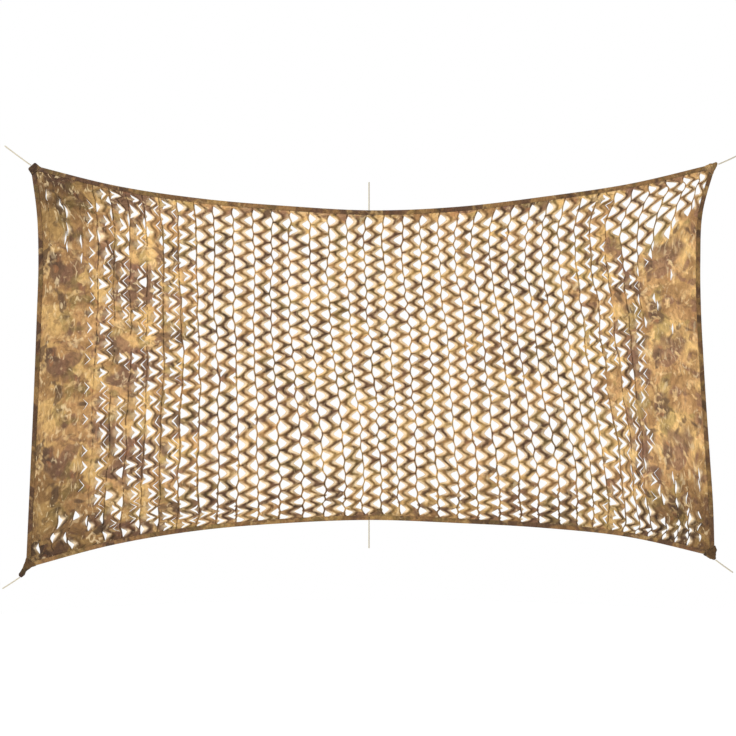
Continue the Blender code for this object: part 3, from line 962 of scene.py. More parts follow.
@dataclass
class SlitPlan:
    """The upright lines of the net, how far each of them swings and how far each slit has opened.

    Each column of the net lies between two lines. A slit that faces right stands on the left line, halfway
    between two rows, and a slit that faces left stands on the right line, at a row.
    """

    panel: Panel
    rows: int = 24
    column_groups: tuple[tuple[int, float], ...] = (
        # columns, width
        (1, 0.0520), (7, 0.0709), (2, 0.0740), (5, 0.0787), (6, 0.0866), (3, 0.0812), (2, 0.0783),
        (2, 0.0750), (4, 0.0702), (7, 0.0634),
    )
    # How wide the slits have opened, as a share of the column's width, in rows of (x, share).
    widths: Table = (
        (-1.27, 0.00), (-1.21, 0.10), (-1.15, 0.19), (-1.02, 0.22), (-0.92, 0.27), (-0.80, 0.37),
        (-0.70, 0.46), (-0.50, 0.50), (-0.30, 0.55), (-0.10, 0.60), (0.32, 0.60), (0.46, 0.50),
        (0.58, 0.46), (0.70, 0.51), (0.90, 0.50), (1.00, 0.40), (1.08, 0.31), (1.16, 0.20), (1.23, 0.00),
    )
    # How far the points of the right-facing slits stand off, and how readily the left-facing ones open.
    right_reaches: Table = ((-1.00, 0.74), (-0.55, 0.368), (0.80, 0.368), (1.05, 0.70))
    left_openings: Table = ((-1.10, 0.20), (-0.92, 0.45), (-0.62, 1.00), (0.84, 1.00), (1.02, 0.40))
    reach: float = 0.368
    reach_limit: float = 0.80
    reach_spread: float = 0.04
    least_width: float = 0.03
    flap_widths: Pair = (0.20, 0.46)
    # The uneven stretch: swells are (a metre across, a metre down, layer), as the noise takes them.
    ragged: float = 0.060
    ragged_swells: Triple = (3.0, 7.0, 9.0)
    patchy: float = 0.34
    patchy_swells: Triple = (4.0, 4.0, 5.0)
    spreads: Pair = (0.55, 0.25)
    wider_share: float = 0.8
    snagged: float = 0.07
    snag: float = 0.55
    low_narrow: float = 0.55
    low_fade: float = 0.30
    # Where a few neighbouring slits have stayed shut.
    plain_places: Rows = (
        # middle x, middle z, half width, half height
        (-0.983, -0.180, 0.060, 0.045), (-0.930, -0.560, 0.040, 0.035), (1.094, -0.110, 0.025, 0.045),
        (1.094, -0.400, 0.025, 0.065), (1.031, -0.765, 0.025, 0.060),
    )
    plain_swells: Triple = (6.0, 6.0, 3.0)
    plain_limit: float = 0.43
    plain_beyond: float = 0.78
    plain_width: float = 0.368
    # The band above the bottom edge in which the slits have opened next to the right corner: (x, width).
    low_band: Table = ((0.95, 0.00), (1.05, 0.42), (1.24, 0.36), (1.34, 0.22), (1.46, 0.16))
    low_band_depth: float = 0.16
    # Where single slits have opened in the shut cloth beside the columns, and in the corners.
    zones: Rows = (
        # middle x, middle z, half width, half height, share of the slits, width
        (-1.26, 0.02, 0.14, 0.17, 0.34, 0.14), (-1.34, -0.10, 0.06, 0.10, 0.20, 0.12),
        (-1.06, -0.04, 0.14, 0.12, 0.20, 0.22), (-1.28, -1.37, 0.11, 0.10, 0.35, 0.30),
        (-1.43, -1.48, 0.04, 0.06, 0.40, 0.24), (-1.10, -1.30, 0.20, 0.16, 0.22, 0.26),
        (-1.12, -0.70, 0.06, 0.62, 0.03, 0.30), (-0.90, -0.70, 0.22, 0.62, 0.06, 0.38),
        (1.00, -0.70, 0.12, 0.55, 0.12, 0.42), (1.22, -0.43, 0.10, 0.22, 0.16, 0.16),
        (1.38, -0.62, 0.10, 0.62, 0.04, 0.15), (1.22, -1.22, 0.24, 0.15, 0.40, 0.17),
        (1.38, -1.30, 0.12, 0.10, 0.45, 0.24),
    )
    zone_spread: Pair = (0.6, 1.1)
    # The open corner of the net, beyond a slanting line.
    corner_width: float = 0.52
    corner_line: float = 1.404
    corner_fade: float = 0.05
    corner_from: float = 1.10
    corner_spread: Pair = (0.75, 1.0)
    # How far a line swings left and right between its knots, where the cloth is taut.
    swing: float = 0.036
    swing_widths: Pair = (0.36, 0.56)
    swing_spread: float = 1.3
    swing_swells: Triple = (3.5, 5.0, 7.0)
    seed: int = 23
    lines: list[float] = field(init=False, default_factory=list)
    swings: dict[tuple[int, int], float] = field(init=False, default_factory=dict)
    slits: dict[tuple[int, int, Facing], Slit] = field(init=False, default_factory=dict)

    def __post_init__(self) -> None:
        """Work out the lines of the columns, their swings and how far each slit has opened."""
        places = [0.0]
        for count, width in self.column_groups:
            places += [places[-1] + width * (step + 1) for step in range(count)]
        self.lines = [place / places[-1] for place in places]
        for line, across in enumerate(self.lines):
            for row in range(self.rows + 1):
                self.swings[line, row] = self.line_swing(self.panel.place(across, row / self.rows))
        chance = random.Random(self.seed)
        for column in range(self.columns):
            for row in range(self.rows):
                for facing in Facing:
                    self.slits[column, row, facing] = self.open_slit(column, row, facing, chance)

    @property
    def columns(self) -> int:
        """Number of columns between the lines."""
        return len(self.lines) - 1

    def line_swing(self, point: Vector) -> float:
        """How far a line swings at a point, as a share of the column's width."""
        taut = smooth_step(*self.swing_widths, table_value(self.widths, point.x))
        uneven = 1.0 + self.swing_spread * swell(point, *self.swing_swells)
        return self.swing * uneven * max(taut, self.corner_nearness(point))

    def corner_nearness(self, point: Vector) -> float:
        """How far a point is inside the open corner of the net, from 0 to 1."""
        if point.x < self.corner_from:
            return 0.0
        return smooth_step(-self.corner_fade, self.corner_fade, point.y - point.x + self.corner_line)

    def low_width(self, point: Vector) -> float:
        """How wide the slits have opened in the band above the bottom edge."""
        inside = self.panel.above(point) < self.low_band_depth and point.x < self.low_band[-1][0]
        return table_value(self.low_band, point.x) if inside else 0.0

    def is_plain(self, point: Vector, width: float) -> bool:
        """Whether a slit of some width lies where the cloth has stayed whole."""
        listed = any(is_within(point, *place) for place in self.plain_places)
        stiff = swell(point, *self.plain_swells) > self.plain_limit
        return listed or (stiff and abs(point.x) > self.plain_beyond and width < self.plain_width)

    def uneven_width(self, point: Vector, chance: random.Random) -> float:
        """How wide a slit has opened by its place in the pattern and the uneven stretch.

        Args:
            point: The middle of the slit.
            chance: The source of the uneven stretch.

        Returns:
            The width, as a share of the column's width.
        """
        stray = self.ragged * swell(point, *self.ragged_swells)
        width = table_value(self.widths, point.x + stray)
        spread = blend(*self.spreads, smooth_step(*self.flap_widths, width))
        patch = self.patchy * swell(point, *self.patchy_swells)
        width *= 1.0 + patch + chance.uniform(-spread, self.wider_share * spread)
        width *= self.snag if chance.random() < self.snagged else 1.0
        return width * blend(self.low_narrow, 1.0, smooth_step(0.0, self.low_fade, self.panel.above(point)))

    def open_slit(self, column: int, row: int, facing: Facing, chance: random.Random) -> Slit:
        """Choose how far one slit has opened.

        Args:
            column: The column that the slit is in.
            row: The row that its middle is in.
            facing: The way it looks.
            chance: The source of the uneven stretch.

        Returns:
            The slit; its width is 0 where it stays shut.
        """
        middle = row + (0.5 if facing is Facing.RIGHT else 0.0)
        point = self.panel.place((self.lines[column] + self.lines[column + 1]) / 2, middle / self.rows)
        width = self.uneven_width(point, chance)
        reach = self.reach
        if facing is Facing.RIGHT:
            reach = table_value(self.right_reaches, point.x)
            reach += chance.uniform(-self.reach_spread, self.reach_spread)
        else:
            width *= table_value(self.left_openings, point.x)
        reach = blend(reach, min(width, self.reach), smooth_step(*self.flap_widths, width))
        for *zone, share, zone_width in self.zones:
            chosen = zone_width * chance.uniform(*self.zone_spread)
            if chance.random() < share and is_within(point, *zone) and chosen > width:
                width = reach = chosen
        if self.is_plain(point, width):
            width = 0.0
        cornered = max(self.corner_width * self.corner_nearness(point), self.low_width(point))
        cornered *= chance.uniform(*self.corner_spread)
        if cornered > width:
            width = reach = cornered
        if width < self.least_width or (facing is Facing.LEFT and row == 0):
            return Slit(0.0, self.reach)
        return Slit(width, min(reach, self.reach_limit))

    def near_slits(self, column: int, row: int, mark: float) -> tuple[Slit, Slit]:
        """The right-facing and the left-facing slit that are nearest to a mark."""
        column = min(column, self.columns - 1)
        shut = Slit(0.0, self.reach)
        left_row = row + 1 if mark > 0.5 else row
        facing_right = self.slits.get((column, row, Facing.RIGHT), shut)
        return facing_right, self.slits.get((column, left_row, Facing.LEFT), shut)


@dataclass(frozen=True)
class Stretch:
    """How the pull of the cords and the cloth's own weight have dragged the net off its even grid."""

    panel: Panel
    # How far the columns lean off upright: their shift at a height near the top and at one near the bottom.
    lean_middle: float = -0.48
    lean_top: float = -0.06
    lean_bottom: float = -1.17
    leans: Rows = (
        # x, shift near the top, shift near the bottom
        (-1.45, 0.000, 0.000), (-1.17, -0.006, -0.008), (-0.95, -0.010, 0.000), (-0.66, -0.012, 0.022),
        (-0.50, 0.000, 0.040), (-0.34, -0.002, 0.074), (-0.17, -0.010, 0.078), (0.00, -0.024, 0.058),
        (0.17, -0.040, 0.036), (0.34, -0.050, 0.040), (0.65, -0.052, 0.065), (0.80, -0.048, 0.083),
        (1.00, -0.048, 0.065), (1.20, -0.030, 0.035), (1.45, 0.000, 0.000),
    )
    # How far the lowest rows are squeezed towards the bottom edge, in rows of (x, squeeze).
    squeezes: Table = (
        (-1.20, 0.2), (-0.80, 0.7), (-0.50, 1.0), (-0.22, 0.9), (-0.05, 0.1), (0.22, 0.1), (0.38, 0.9),
        (0.62, 0.8), (0.85, 0.3), (1.05, 0.8), (1.30, 0.7),
    )
    squeeze_from: float = 0.55
    squeeze_most: float = 0.036
    # The corners where the cloth is crumpled and dark.
    crumpled: tuple[tuple[Corner, float, float], ...] = (
        # corner, reach, tone
        (Corner.TOP_LEFT, 0.56, 0.46),
        (Corner.BOTTOM_LEFT, 0.62, 0.57),
        (Corner.BOTTOM_RIGHT, 0.54, 0.50),
    )
    crumple: float = 2.4
    crumple_core: float = 0.3
    # The uneven drift: (size, swells a metre), and the finest one, which only the crumpled corners have.
    drifts: tuple[tuple[float, float], ...] = ((0.0100, 2.4), (0.0120, 7.5), (0.0056, 19.0))
    fine_drift: Pair = (0.0028, 36.0)
    drift_start: Triple = (7.3, 1.9, 4.0)
    drift_fade: Pair = (0.020, 0.075)
    corner_pulls: tuple[tuple[Corner, float], ...] = (
        (Corner.TOP_LEFT, 0.10),
        (Corner.TOP_RIGHT, 0.14),
        (Corner.BOTTOM_LEFT, 0.10),
        (Corner.BOTTOM_RIGHT, 0.14),
    )
    pull_fade: Pair = (0.15, 0.55)

    def lean(self, across: float, down: float) -> float:
        """Shift of a column at a place on the panel, in metres to the right.

        Args:
            across: Share of the width.
            down: Share of the height.

        Returns:
            The shift, from the table of leans.
        """
        point = self.panel.place(across, down)
        is_high = point.y > self.lean_middle
        shifts = tuple((x, top if is_high else bottom) for x, top, bottom in self.leans)
        end = self.lean_top if is_high else self.lean_bottom
        share = (point.y - self.lean_middle) / (end - self.lean_middle)
        return table_value(shifts, point.x) * min(share, 1.0)

    def squeezed(self, across: float, down: float) -> float:
        """Move a share of the height down where the lowest rows are squeezed together."""
        share = max(down - self.squeeze_from, 0.0) / (1.0 - self.squeeze_from)
        # The hump is 0 at both ends of the squeezed rows and rises to 1 between them.
        hump = 27.0 / 4.0 * share * share * (1.0 - share)
        return down + self.squeeze_most * hump * table_value(self.squeezes, self.panel.place(across, down).x)

    def smoothness(self, point: Vector) -> float:
        """How far a point is from the crumpled corners, from 0 beside one to 1 away from all."""
        reaches = [(reach, (point - self.panel.tip(corner)).length) for corner, reach, _ in self.crumpled]
        return min(smooth_step(self.crumple_core * reach, reach, away) for reach, away in reaches)

    def wander(self, point: Vector) -> Vector:
        """How far the stretch has dragged a point off its even place.

        Args:
            point: A flat point.

        Returns:
            The way and the distance, which fade out at the edges.
        """
        from_edge, _ = self.panel.depths(point)
        smooth = self.smoothness(point)
        fine_size, fine_pitch = self.fine_drift
        drift = Vector((0.0, 0.0))
        for size, pitch in (*self.drifts, (fine_size * (1.0 - smooth), fine_pitch)):
            place = Vector((point.x * pitch, point.y * pitch, pitch))
            drift += Vector((noise.noise(place), noise.noise(place + Vector(self.drift_start)))) * size
        drift *= blend(self.crumple, 1.0, smooth)
        for corner, amount in self.corner_pulls:
            towards = self.panel.tip(corner) - point
            drift += towards * amount * (1.0 - smooth_step(*self.pull_fade, towards.length))
        return drift * smooth_step(*self.drift_fade, from_edge)


@dataclass(frozen=True)
class SlitSide:
    """The cloth along one side of a slit: how far it runs out, how well it is lit, and its light end."""

    bulge: float
    lit: float
    end: float
    root_shade: float = 0.85
    root_light: float = 0.3

    def shade(self, taut: float, shade_at_point: float) -> float:
        """Shade of the fold where the cloth is taut, from the slit's ends to its point."""
        return taut * blend(self.root_shade, shade_at_point, self.bulge) * (1.0 - self.end)

    def rim(self, loose: float) -> float:
        """Light of the ribbon's cut edge."""
        return blend(max(self.root_light * loose, self.end), 1.0, self.bulge) * self.lit

    def flap(self, loose: float, light: float) -> float:
        """Light of the other edge, which is strongest on a loose flap."""
        return blend(self.end, light, loose * self.bulge) * self.lit


@dataclass(frozen=True)
class GridPlace:
    """One vertex of the net's grid: its column and the part of it, its row and the mark below that row."""

    column: int
    part: int
    row: int
    mark: float


@dataclass(frozen=True)
class NetCloth:
    """The net itself: one slit cloth, pulled open into zigzag ribbons.

    The grid has six faces across a column: half of the left line, the right-facing gap or its flap, two for
    the ribbon, the left-facing gap or its flap, and half of the right line.
    """

    panel: Panel
    plan: SlitPlan
    stretch: Stretch
    parts: int = 6
    row_marks: tuple[float, ...] = (0.0, 0.14, 0.25, 0.36, 0.50, 0.64, 0.75, 0.86)
    flat_size: Pair = (2.27, 1.50)
    edge_inset: float = 0.0022
    margin: float = 0.0215
    thickness: float = 0.001
    # The shape of a slit, in shares of the column's width.
    side_curves: Pair = (1.15, 1.60)
    line_share: float = 0.036
    least_share: float = 0.016
    end_inset: float = 0.022
    shut_width: float = 0.012
    arm_swell: float = 1.7
    # How far the six parts of an open column buckle out of the plane.
    buckles: Rows = (
        # rise, rise at a slit's point, rise with the turn
        (0.0022, 0.0, 0.0), (0.0, 0.0032, 0.0), (0.0, -0.0034, -0.0016), (-0.0008, 0.0, 0.0),
        (0.0, -0.0034, 0.0016), (0.0, 0.0032, 0.0),
    )
    full_buckle: float = 0.30
    buckle_fade: Pair = (0.021, 0.050)
    reliefs: Rows = (
        # rise, swells a metre across, swells a metre down, layer
        (0.0016, 9.0, 9.0, 2.0),
        (0.0018, 42.0, 19.0, 2.0),
    )
    # How the folds are shaded and the cut edges lit, from 0 to 1.
    taut_openness: Pair = (0.8, 1.5)
    net_widths: Pair = (0.04, 0.16)
    low_net_width: float = 0.3
    crumpled_net: float = 0.75
    lit_width: float = 0.14
    end_light: float = 0.7
    line_shades: Triple = (0.2, 1.0, 0.09)
    base_shade: float = 0.20
    whole_shade: float = 0.4
    line_light: float = 0.1
    flap_lights: Pair = (0.72, 0.6)
    side_light: float = 0.6
    # How light the cloth is across the net, in rows of (x, tone), and how dark it is along the bottom edge.
    tones: Table = ((-1.28, 0.78), (-1.18, 0.96), (-0.90, 1.08), (-0.60, 1.10), (0.90, 1.10), (1.20, 1.16))
    low_tone: float = 0.74

    def opening(self, slit: Slit, bulge: float) -> float:
        """How wide a slit gapes where its side runs out; it keeps its width along both of its arms."""
        swelled = blend(self.arm_swell, 1.0, smooth_step(*self.plan.flap_widths, slit.width))
        return max(slit.width, self.shut_width) * min(bulge * swelled, 1.0)

    def bulge(self, distance: float, slit: Slit) -> float:
        """How far a slit's side runs out, from 1 at its point to 0 at its ends; wide gaps are rounder."""
        share = min(distance / (0.5 - self.row_marks[1]), 1.0)
        return 1.0 - share ** blend(*self.side_curves, smooth_step(*self.plan.flap_widths, slit.width))

    def bulges(self, mark: float, right: Slit, left: Slit) -> Pair:
        """How far the sides of the right-facing and the left-facing slit run out at a mark."""
        return self.bulge(abs(mark - 0.5), right), self.bulge(min(mark, 1.0 - mark), left)

    def openness(self, at: GridPlace) -> float:
        """How far the slits near a place have opened; they are as open as the buckles need at 1."""
        slits = self.plan.near_slits(at.column, at.row, at.mark)
        return sum(slit.width for slit in slits) / 2 / self.full_buckle

    def shares(self, column: int, row: int, mark: float) -> list[float]:
        """Places across one column, as shares of its width, at a mark below a row.

        Args:
            column: The column.
            row: The row above.
            mark: How far below that row, as a share of a row.

        Returns:
            The six places from the column's left line on.
        """
        pull = math.cos(math.tau * mark)
        left_swing, right_swing = (self.plan.swings[line, row] * pull for line in (column, column + 1))
        right, left = self.plan.near_slits(column, row, mark)
        right_bulge, left_bulge = self.bulges(mark, right, left)
        left_line = self.line_share + self.end_inset * (1.0 - right_bulge) ** 2
        right_line = 1.0 - self.line_share - self.end_inset * (1.0 - left_bulge) ** 2
        stand_off = max(min(right.reach - self.plan.reach, right.reach - 2.0 * right.width), 0.0)
        outward, inward = blend(stand_off, right.reach, right_bulge), left.reach * left_bulge
        base = left_line + left_swing + max(outward - self.opening(right, right_bulge), 0.0)
        far_base = right_line + right_swing - max(inward - self.opening(left, left_bulge), 0.0)
        ribbon_left = max(left_line + outward, base + self.least_share)
        ribbon_right = min(right_line - inward, far_base - self.least_share)
        return [left_swing, base, ribbon_left, (ribbon_left + ribbon_right) / 2, ribbon_right, far_base]

    def grid_place(self, column_number: int, row_number: int) -> GridPlace:
        """Find a vertex in the grid, which has one more line at the top and one at the bottom."""
        inner = min(max(row_number - 1, 0), self.plan.rows * len(self.row_marks))
        row, step = divmod(inner, len(self.row_marks))
        return GridPlace(*divmod(column_number, self.parts), row, self.row_marks[step])

    def flat_place(self, at: GridPlace, row_number: int) -> Vector:
        """Place on the panel, before waves, of one vertex of the grid.

        Args:
            at: The vertex's place in the grid.
            row_number: The number of its line of vertices, from the top.

        Returns:
            The flat point.
        """
        if at.column == self.plan.columns:
            across = 1.0
        else:
            share = self.shares(at.column, at.row, at.mark)[at.part]
            across = blend(self.plan.lines[at.column], self.plan.lines[at.column + 1], share)
        height = self.panel.height(across)
        margin, inset = self.margin / height, self.edge_inset / height
        if row_number == 0:
            down = inset
        elif row_number == self.plan.rows * len(self.row_marks) + 2:
            down = 1.0 - inset
        else:
            even = blend(margin, 1.0 - margin, (at.row + at.mark) / self.plan.rows)
            down = self.stretch.squeezed(across, even)
        width = self.panel.width(down)
        side_inset = self.edge_inset / width
        across += self.stretch.lean(across, down) / width
        return self.panel.place(min(max(across, side_inset), 1.0 - side_inset), down)

    def place(self, column_number: int, row_number: int) -> Vector:
        """Final place of one vertex of the grid.

        Args:
            column_number: Its number from the left.
            row_number: Its number from the top.

        Returns:
            The place in the frame's coordinates.
        """
        at = self.grid_place(column_number, row_number)
        flat = self.flat_place(at, row_number)
        point = flat + self.stretch.wander(flat)
        from_edge, _ = self.panel.depths(point)
        right_bulge, left_bulge = self.bulges(at.mark, *self.plan.near_slits(at.column, at.row, at.mark))
        rise, rise_at_point, rise_with_turn = self.buckles[at.part]
        buckle = rise + rise_at_point * (right_bulge if at.part < self.parts / 2 else left_bulge)
        buckle += rise_with_turn * math.sin(math.tau * at.mark)
        uneven = sum(size * swell(point, *swells) for size, *swells in self.reliefs)
        height = (buckle * min(self.openness(at), 1.0) + uneven) * smooth_step(*self.buckle_fade, from_edge)
        return upright(point, self.panel.relief(point) + height)

    def netted(self, point: Vector) -> float:
        """How far the cloth is drawn into a net at a place, from 0 to 1."""
        return max(
            smooth_step(*self.net_widths, table_value(self.plan.widths, point.x)),
            self.plan.corner_nearness(point),
            smooth_step(0.0, self.low_net_width, self.plan.low_width(point)),
            self.crumpled_net * (1.0 - self.stretch.smoothness(point)),
        )

    def fold_shade_and_edge_highlight(self, at: GridPlace, drawn: float) -> Pair:
        """How deeply a vertex is shaded as a fold, and how well it is lit as a cut edge.

        Args:
            at: The vertex's place in the grid.
            drawn: How far the cloth is drawn into a net there.

        Returns:
            The shade and the light, each from 0 to 1.
        """
        slits = self.plan.near_slits(at.column, at.row, at.mark)
        openness = self.openness(at)
        opened, taut = min(openness, 1.0), smooth_step(*self.taut_openness, openness)
        loose = 1.0 - taut
        lit = [smooth_step(0.0, self.lit_width, slit.width) for slit in slits]
        ends = [0.0 if at.mark == knot else self.end_light * taut for knot in (0.0, 0.5)]
        right, left = map(SlitSide, self.bulges(at.mark, *slits), lit, ends)
        loose_shade, knot_shade, arm_shade = self.line_shades
        line_shade = blend(loose_shade, knot_shade if at.mark in (0.0, 0.5) else arm_shade, taut)
        shade = (
            line_shade,
            right.shade(taut, self.base_shade),
            right.shade(taut, 0.0),
            1.0,
            left.shade(taut, 0.0),
            left.shade(taut, self.base_shade),
        )[at.part]
        edge, far_edge = blend(self.side_light, 1.0, drawn), blend(1.0, self.side_light, loose)
        light = (
            self.line_light * loose * opened,
            right.flap(loose, self.flap_lights[0]) * edge,
            right.rim(loose) * edge,
            0.0,
            left.rim(loose) * far_edge,
            left.flap(loose, self.flap_lights[1]),
        )[at.part]
        return blend(self.whole_shade * opened, max(right.lit, left.lit, opened), drawn) * shade, light

    def cloth_place(self, at: GridPlace) -> Pair:
        """Place of a vertex on the flat cloth, where both sides of a slit lie together.

        Args:
            at: The vertex's place in the grid.

        Returns:
            Metres across and, below 0, metres down.
        """
        shares = self.shares(min(at.column, self.plan.columns - 1), at.row, at.mark)
        slit_right, slit_left = (shares[1] + shares[2]) / 2, (shares[4] + shares[5]) / 2
        share = (0.0, slit_right, slit_right, shares[3], slit_left, slit_left)[at.part]
        width, height = self.flat_size
        return (at.column + share) / self.plan.columns * width, -(at.row + at.mark) / self.plan.rows * height

    def tone(self, point: Vector) -> float:
        """How light the cloth is at a flat point; it is darker at the left, at the bottom and in corners.

        Args:
            point: The flat point.

        Returns:
            The factor that the print's colour is multiplied by.
        """
        value = table_value(self.tones, point.x)
        value *= blend(self.low_tone, 1.0, smooth_step(0.0, self.plan.low_fade, self.panel.above(point)))
        for corner, reach, dark in self.stretch.crumpled:
            away = (point - self.panel.tip(corner)).length
            value *= blend(dark, 1.0, smooth_step(self.stretch.crumple_core * reach, reach, away))
        return value

    def mark_vertices(self, bm: BMesh, rows: VertRows) -> None:
        """Mark the painted fold shade, the painted cut-edge highlights and the tone, and lay the flat cloth's
        map on the faces.

        Args:
            bm: The grid, before its gaps are opened.
            rows: Its vertices.
        """
        fold, edge_highlight, tone = (bm.verts.layers.float[mark] for mark in (FOLD_MARK, EDGE_HIGHLIGHT_MARK, TONE_MARK))
        cloth = bm.loops.layers.uv[CLOTH_MAP]
        places = {}
        for row_number, verts in enumerate(rows):
            for column_number, vert in enumerate(verts):
                at = self.grid_place(column_number, row_number)
                point = Vector((vert.co.x, vert.co.z))
                vert[fold], vert[edge_highlight] = self.fold_shade_and_edge_highlight(at, self.netted(point))
                vert[tone] = self.tone(point)
                places[vert] = self.cloth_place(at)
        for face in bm.faces:
            for corner in face.loops:
                corner[cloth].uv = places[corner.vert]

    def open_faces(self, rows: VertRows) -> list[bmesh.types.BMFace]:
        """Find the faces that lie in the open gaps.

        Args:
            rows: The vertices of the grid.

        Returns:
            The faces.
        """
        found = []
        half_way = self.row_marks.index(0.5)
        for (column, row, facing), slit in self.plan.slits.items():
            if slit.width <= 0.0:
                continue
            middle = row * len(self.row_marks) + 1 + (half_way if facing is Facing.RIGHT else 0)
            first = column * self.parts + (1 if facing is Facing.RIGHT else self.parts - 2)
            for row_number in range(middle - half_way + 1, middle + half_way - 1):
                corners = (rows[row_number][first], rows[row_number + 1][first + 1])
                found += [face for face in corners[0].link_faces if corners[1] in face.verts]
        return found

    def cut_corners(self, bm: BMesh) -> None:
        """Cut the cloth back at each corner, where the tab takes over."""
        for corner in Corner:
            cut = {
                "geom": bm.verts[:] + bm.edges[:] + bm.faces[:],
                "plane_co": upright(self.panel.cut_ends(corner)[0]),
                "plane_no": upright(self.panel.cut_pull(corner)),
            }
            bmesh.ops.bisect_plane(bm, **cut, dist=CUT_TOLERANCE, clear_outer=True)

    def build(self, material: Material) -> None:
        """Build the cloth as one sheet with its thickness.

        Args:
            material: The printed cloth.
        """
        bm = bmesh.new()
        for mark in (FOLD_MARK, EDGE_HIGHLIGHT_MARK, TONE_MARK):
            bm.verts.layers.float.new(mark)
        bm.loops.layers.uv.new(CLOTH_MAP)
        down = self.plan.rows * len(self.row_marks) + 2
        rows = warped_grid(bm, self.plan.columns * self.parts, down, self.place)
        self.mark_vertices(bm, rows)
        bmesh.ops.delete(bm, geom=self.open_faces(rows), context="FACES")
        self.cut_corners(bm)
        bmesh.ops.recalc_face_normals(bm, faces=bm.faces[:])
        LOG.info("%d slits are open", sum(slit.width > 0 for slit in self.plan.slits.values()))
        piece = finish_piece("net_of_ribbons", bm, material)
        add_solidify(piece, self.thickness)
        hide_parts("net_cloth")


@dataclass(frozen=True)
class Binding:
    """The tape folded over one edge of the net, and the seam that holds it."""

    panel: Panel
    side: Side
    width: float = 0.020
    thickness: float = 0.005
    cloth: float = 0.0011
    seam_depth: float = 0.0165
    seam_pinch: float = 0.0004
    pinch_width: float = 0.0012
    leg_depths: Pair = (0.011, 0.006)
    stitch_pitch: float = 0.0075
    stitch_length: float = 0.0048
    stitch_rise: float = 0.0001
    step: float = 0.019
    arc_steps: int = 6
    ripple: float = 0.0002
    ripple_length: float = 0.041
    ripple_stray: float = 2.0
    stray_pitch: float = 0.3

    def section(self) -> list[Pair]:
        """The folded tape's mid-line as (depth inside the edge, place through the thickness)."""
        half = (self.thickness - self.cloth) / 2
        centre = half + self.cloth / 2
        pinches = (self.seam_depth + self.pinch_width, self.seam_depth, self.seam_depth - self.pinch_width)
        legs = []
        for depth in (self.width, *pinches, *self.leg_depths):
            legs.append((depth, half - (self.seam_pinch if depth == self.seam_depth else 0.0)))
        rows = [(depth, -through) for depth, through in legs]
        for step in range(self.arc_steps + 1):
            angle = math.pi * (step / self.arc_steps - 0.5)
            rows.append((centre - half * math.cos(angle), half * math.sin(angle)))
        return rows + legs[::-1]

    def build(self, material: Material) -> None:
        """Build the folded tape.

        Args:
            material: The printed tape.
        """
        section = self.section()
        steps = round(self.panel.side_length(self.side) / self.step)
        lines = {depth: self.panel.side_points(self.side, depth, steps) for depth, _ in section}

        def place(column: int, row: int) -> Vector:
            """Place one vertex of the tape."""
            depth, through = section[row]
            stray = self.ripple_stray * noise.noise(Vector((column * self.stray_pitch, 0.0, 0.0)))
            wave = math.sin(math.tau * column * self.step / self.ripple_length + stray)
            ripple = self.ripple * wave * (depth / self.width) ** 2
            return upright(lines[depth][column], through + math.copysign(ripple, through))

        bm = bmesh.new()
        warped_grid(bm, steps, len(section) - 1, place)
        bmesh.ops.recalc_face_normals(bm, faces=bm.faces[:])
        piece = finish_piece(f"folded_tape_{self.side.value}", bm, material)
        add_solidify(piece, self.cloth)
        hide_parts(f"binding_{self.side.value}")

    def sew_seam(self, thread: Material) -> None:
        """Sew the tape down with one row of stitches that shows on both faces."""
        count = round(self.panel.side_length(self.side) / self.stitch_pitch)
        line = self.panel.side_points(self.side, self.seam_depth, count)
        surface = self.thickness / 2 - self.seam_pinch + self.stitch_rise
        stitches = [
            Stitch(upright((start + stop) / 2, front), upright(stop - start), self.stitch_length)
            for start, stop in zip(line[1:-2], line[2:-1])
            for front in (-surface, surface)
        ]
        sew(f"seam_{self.side.value}", stitches, thread)


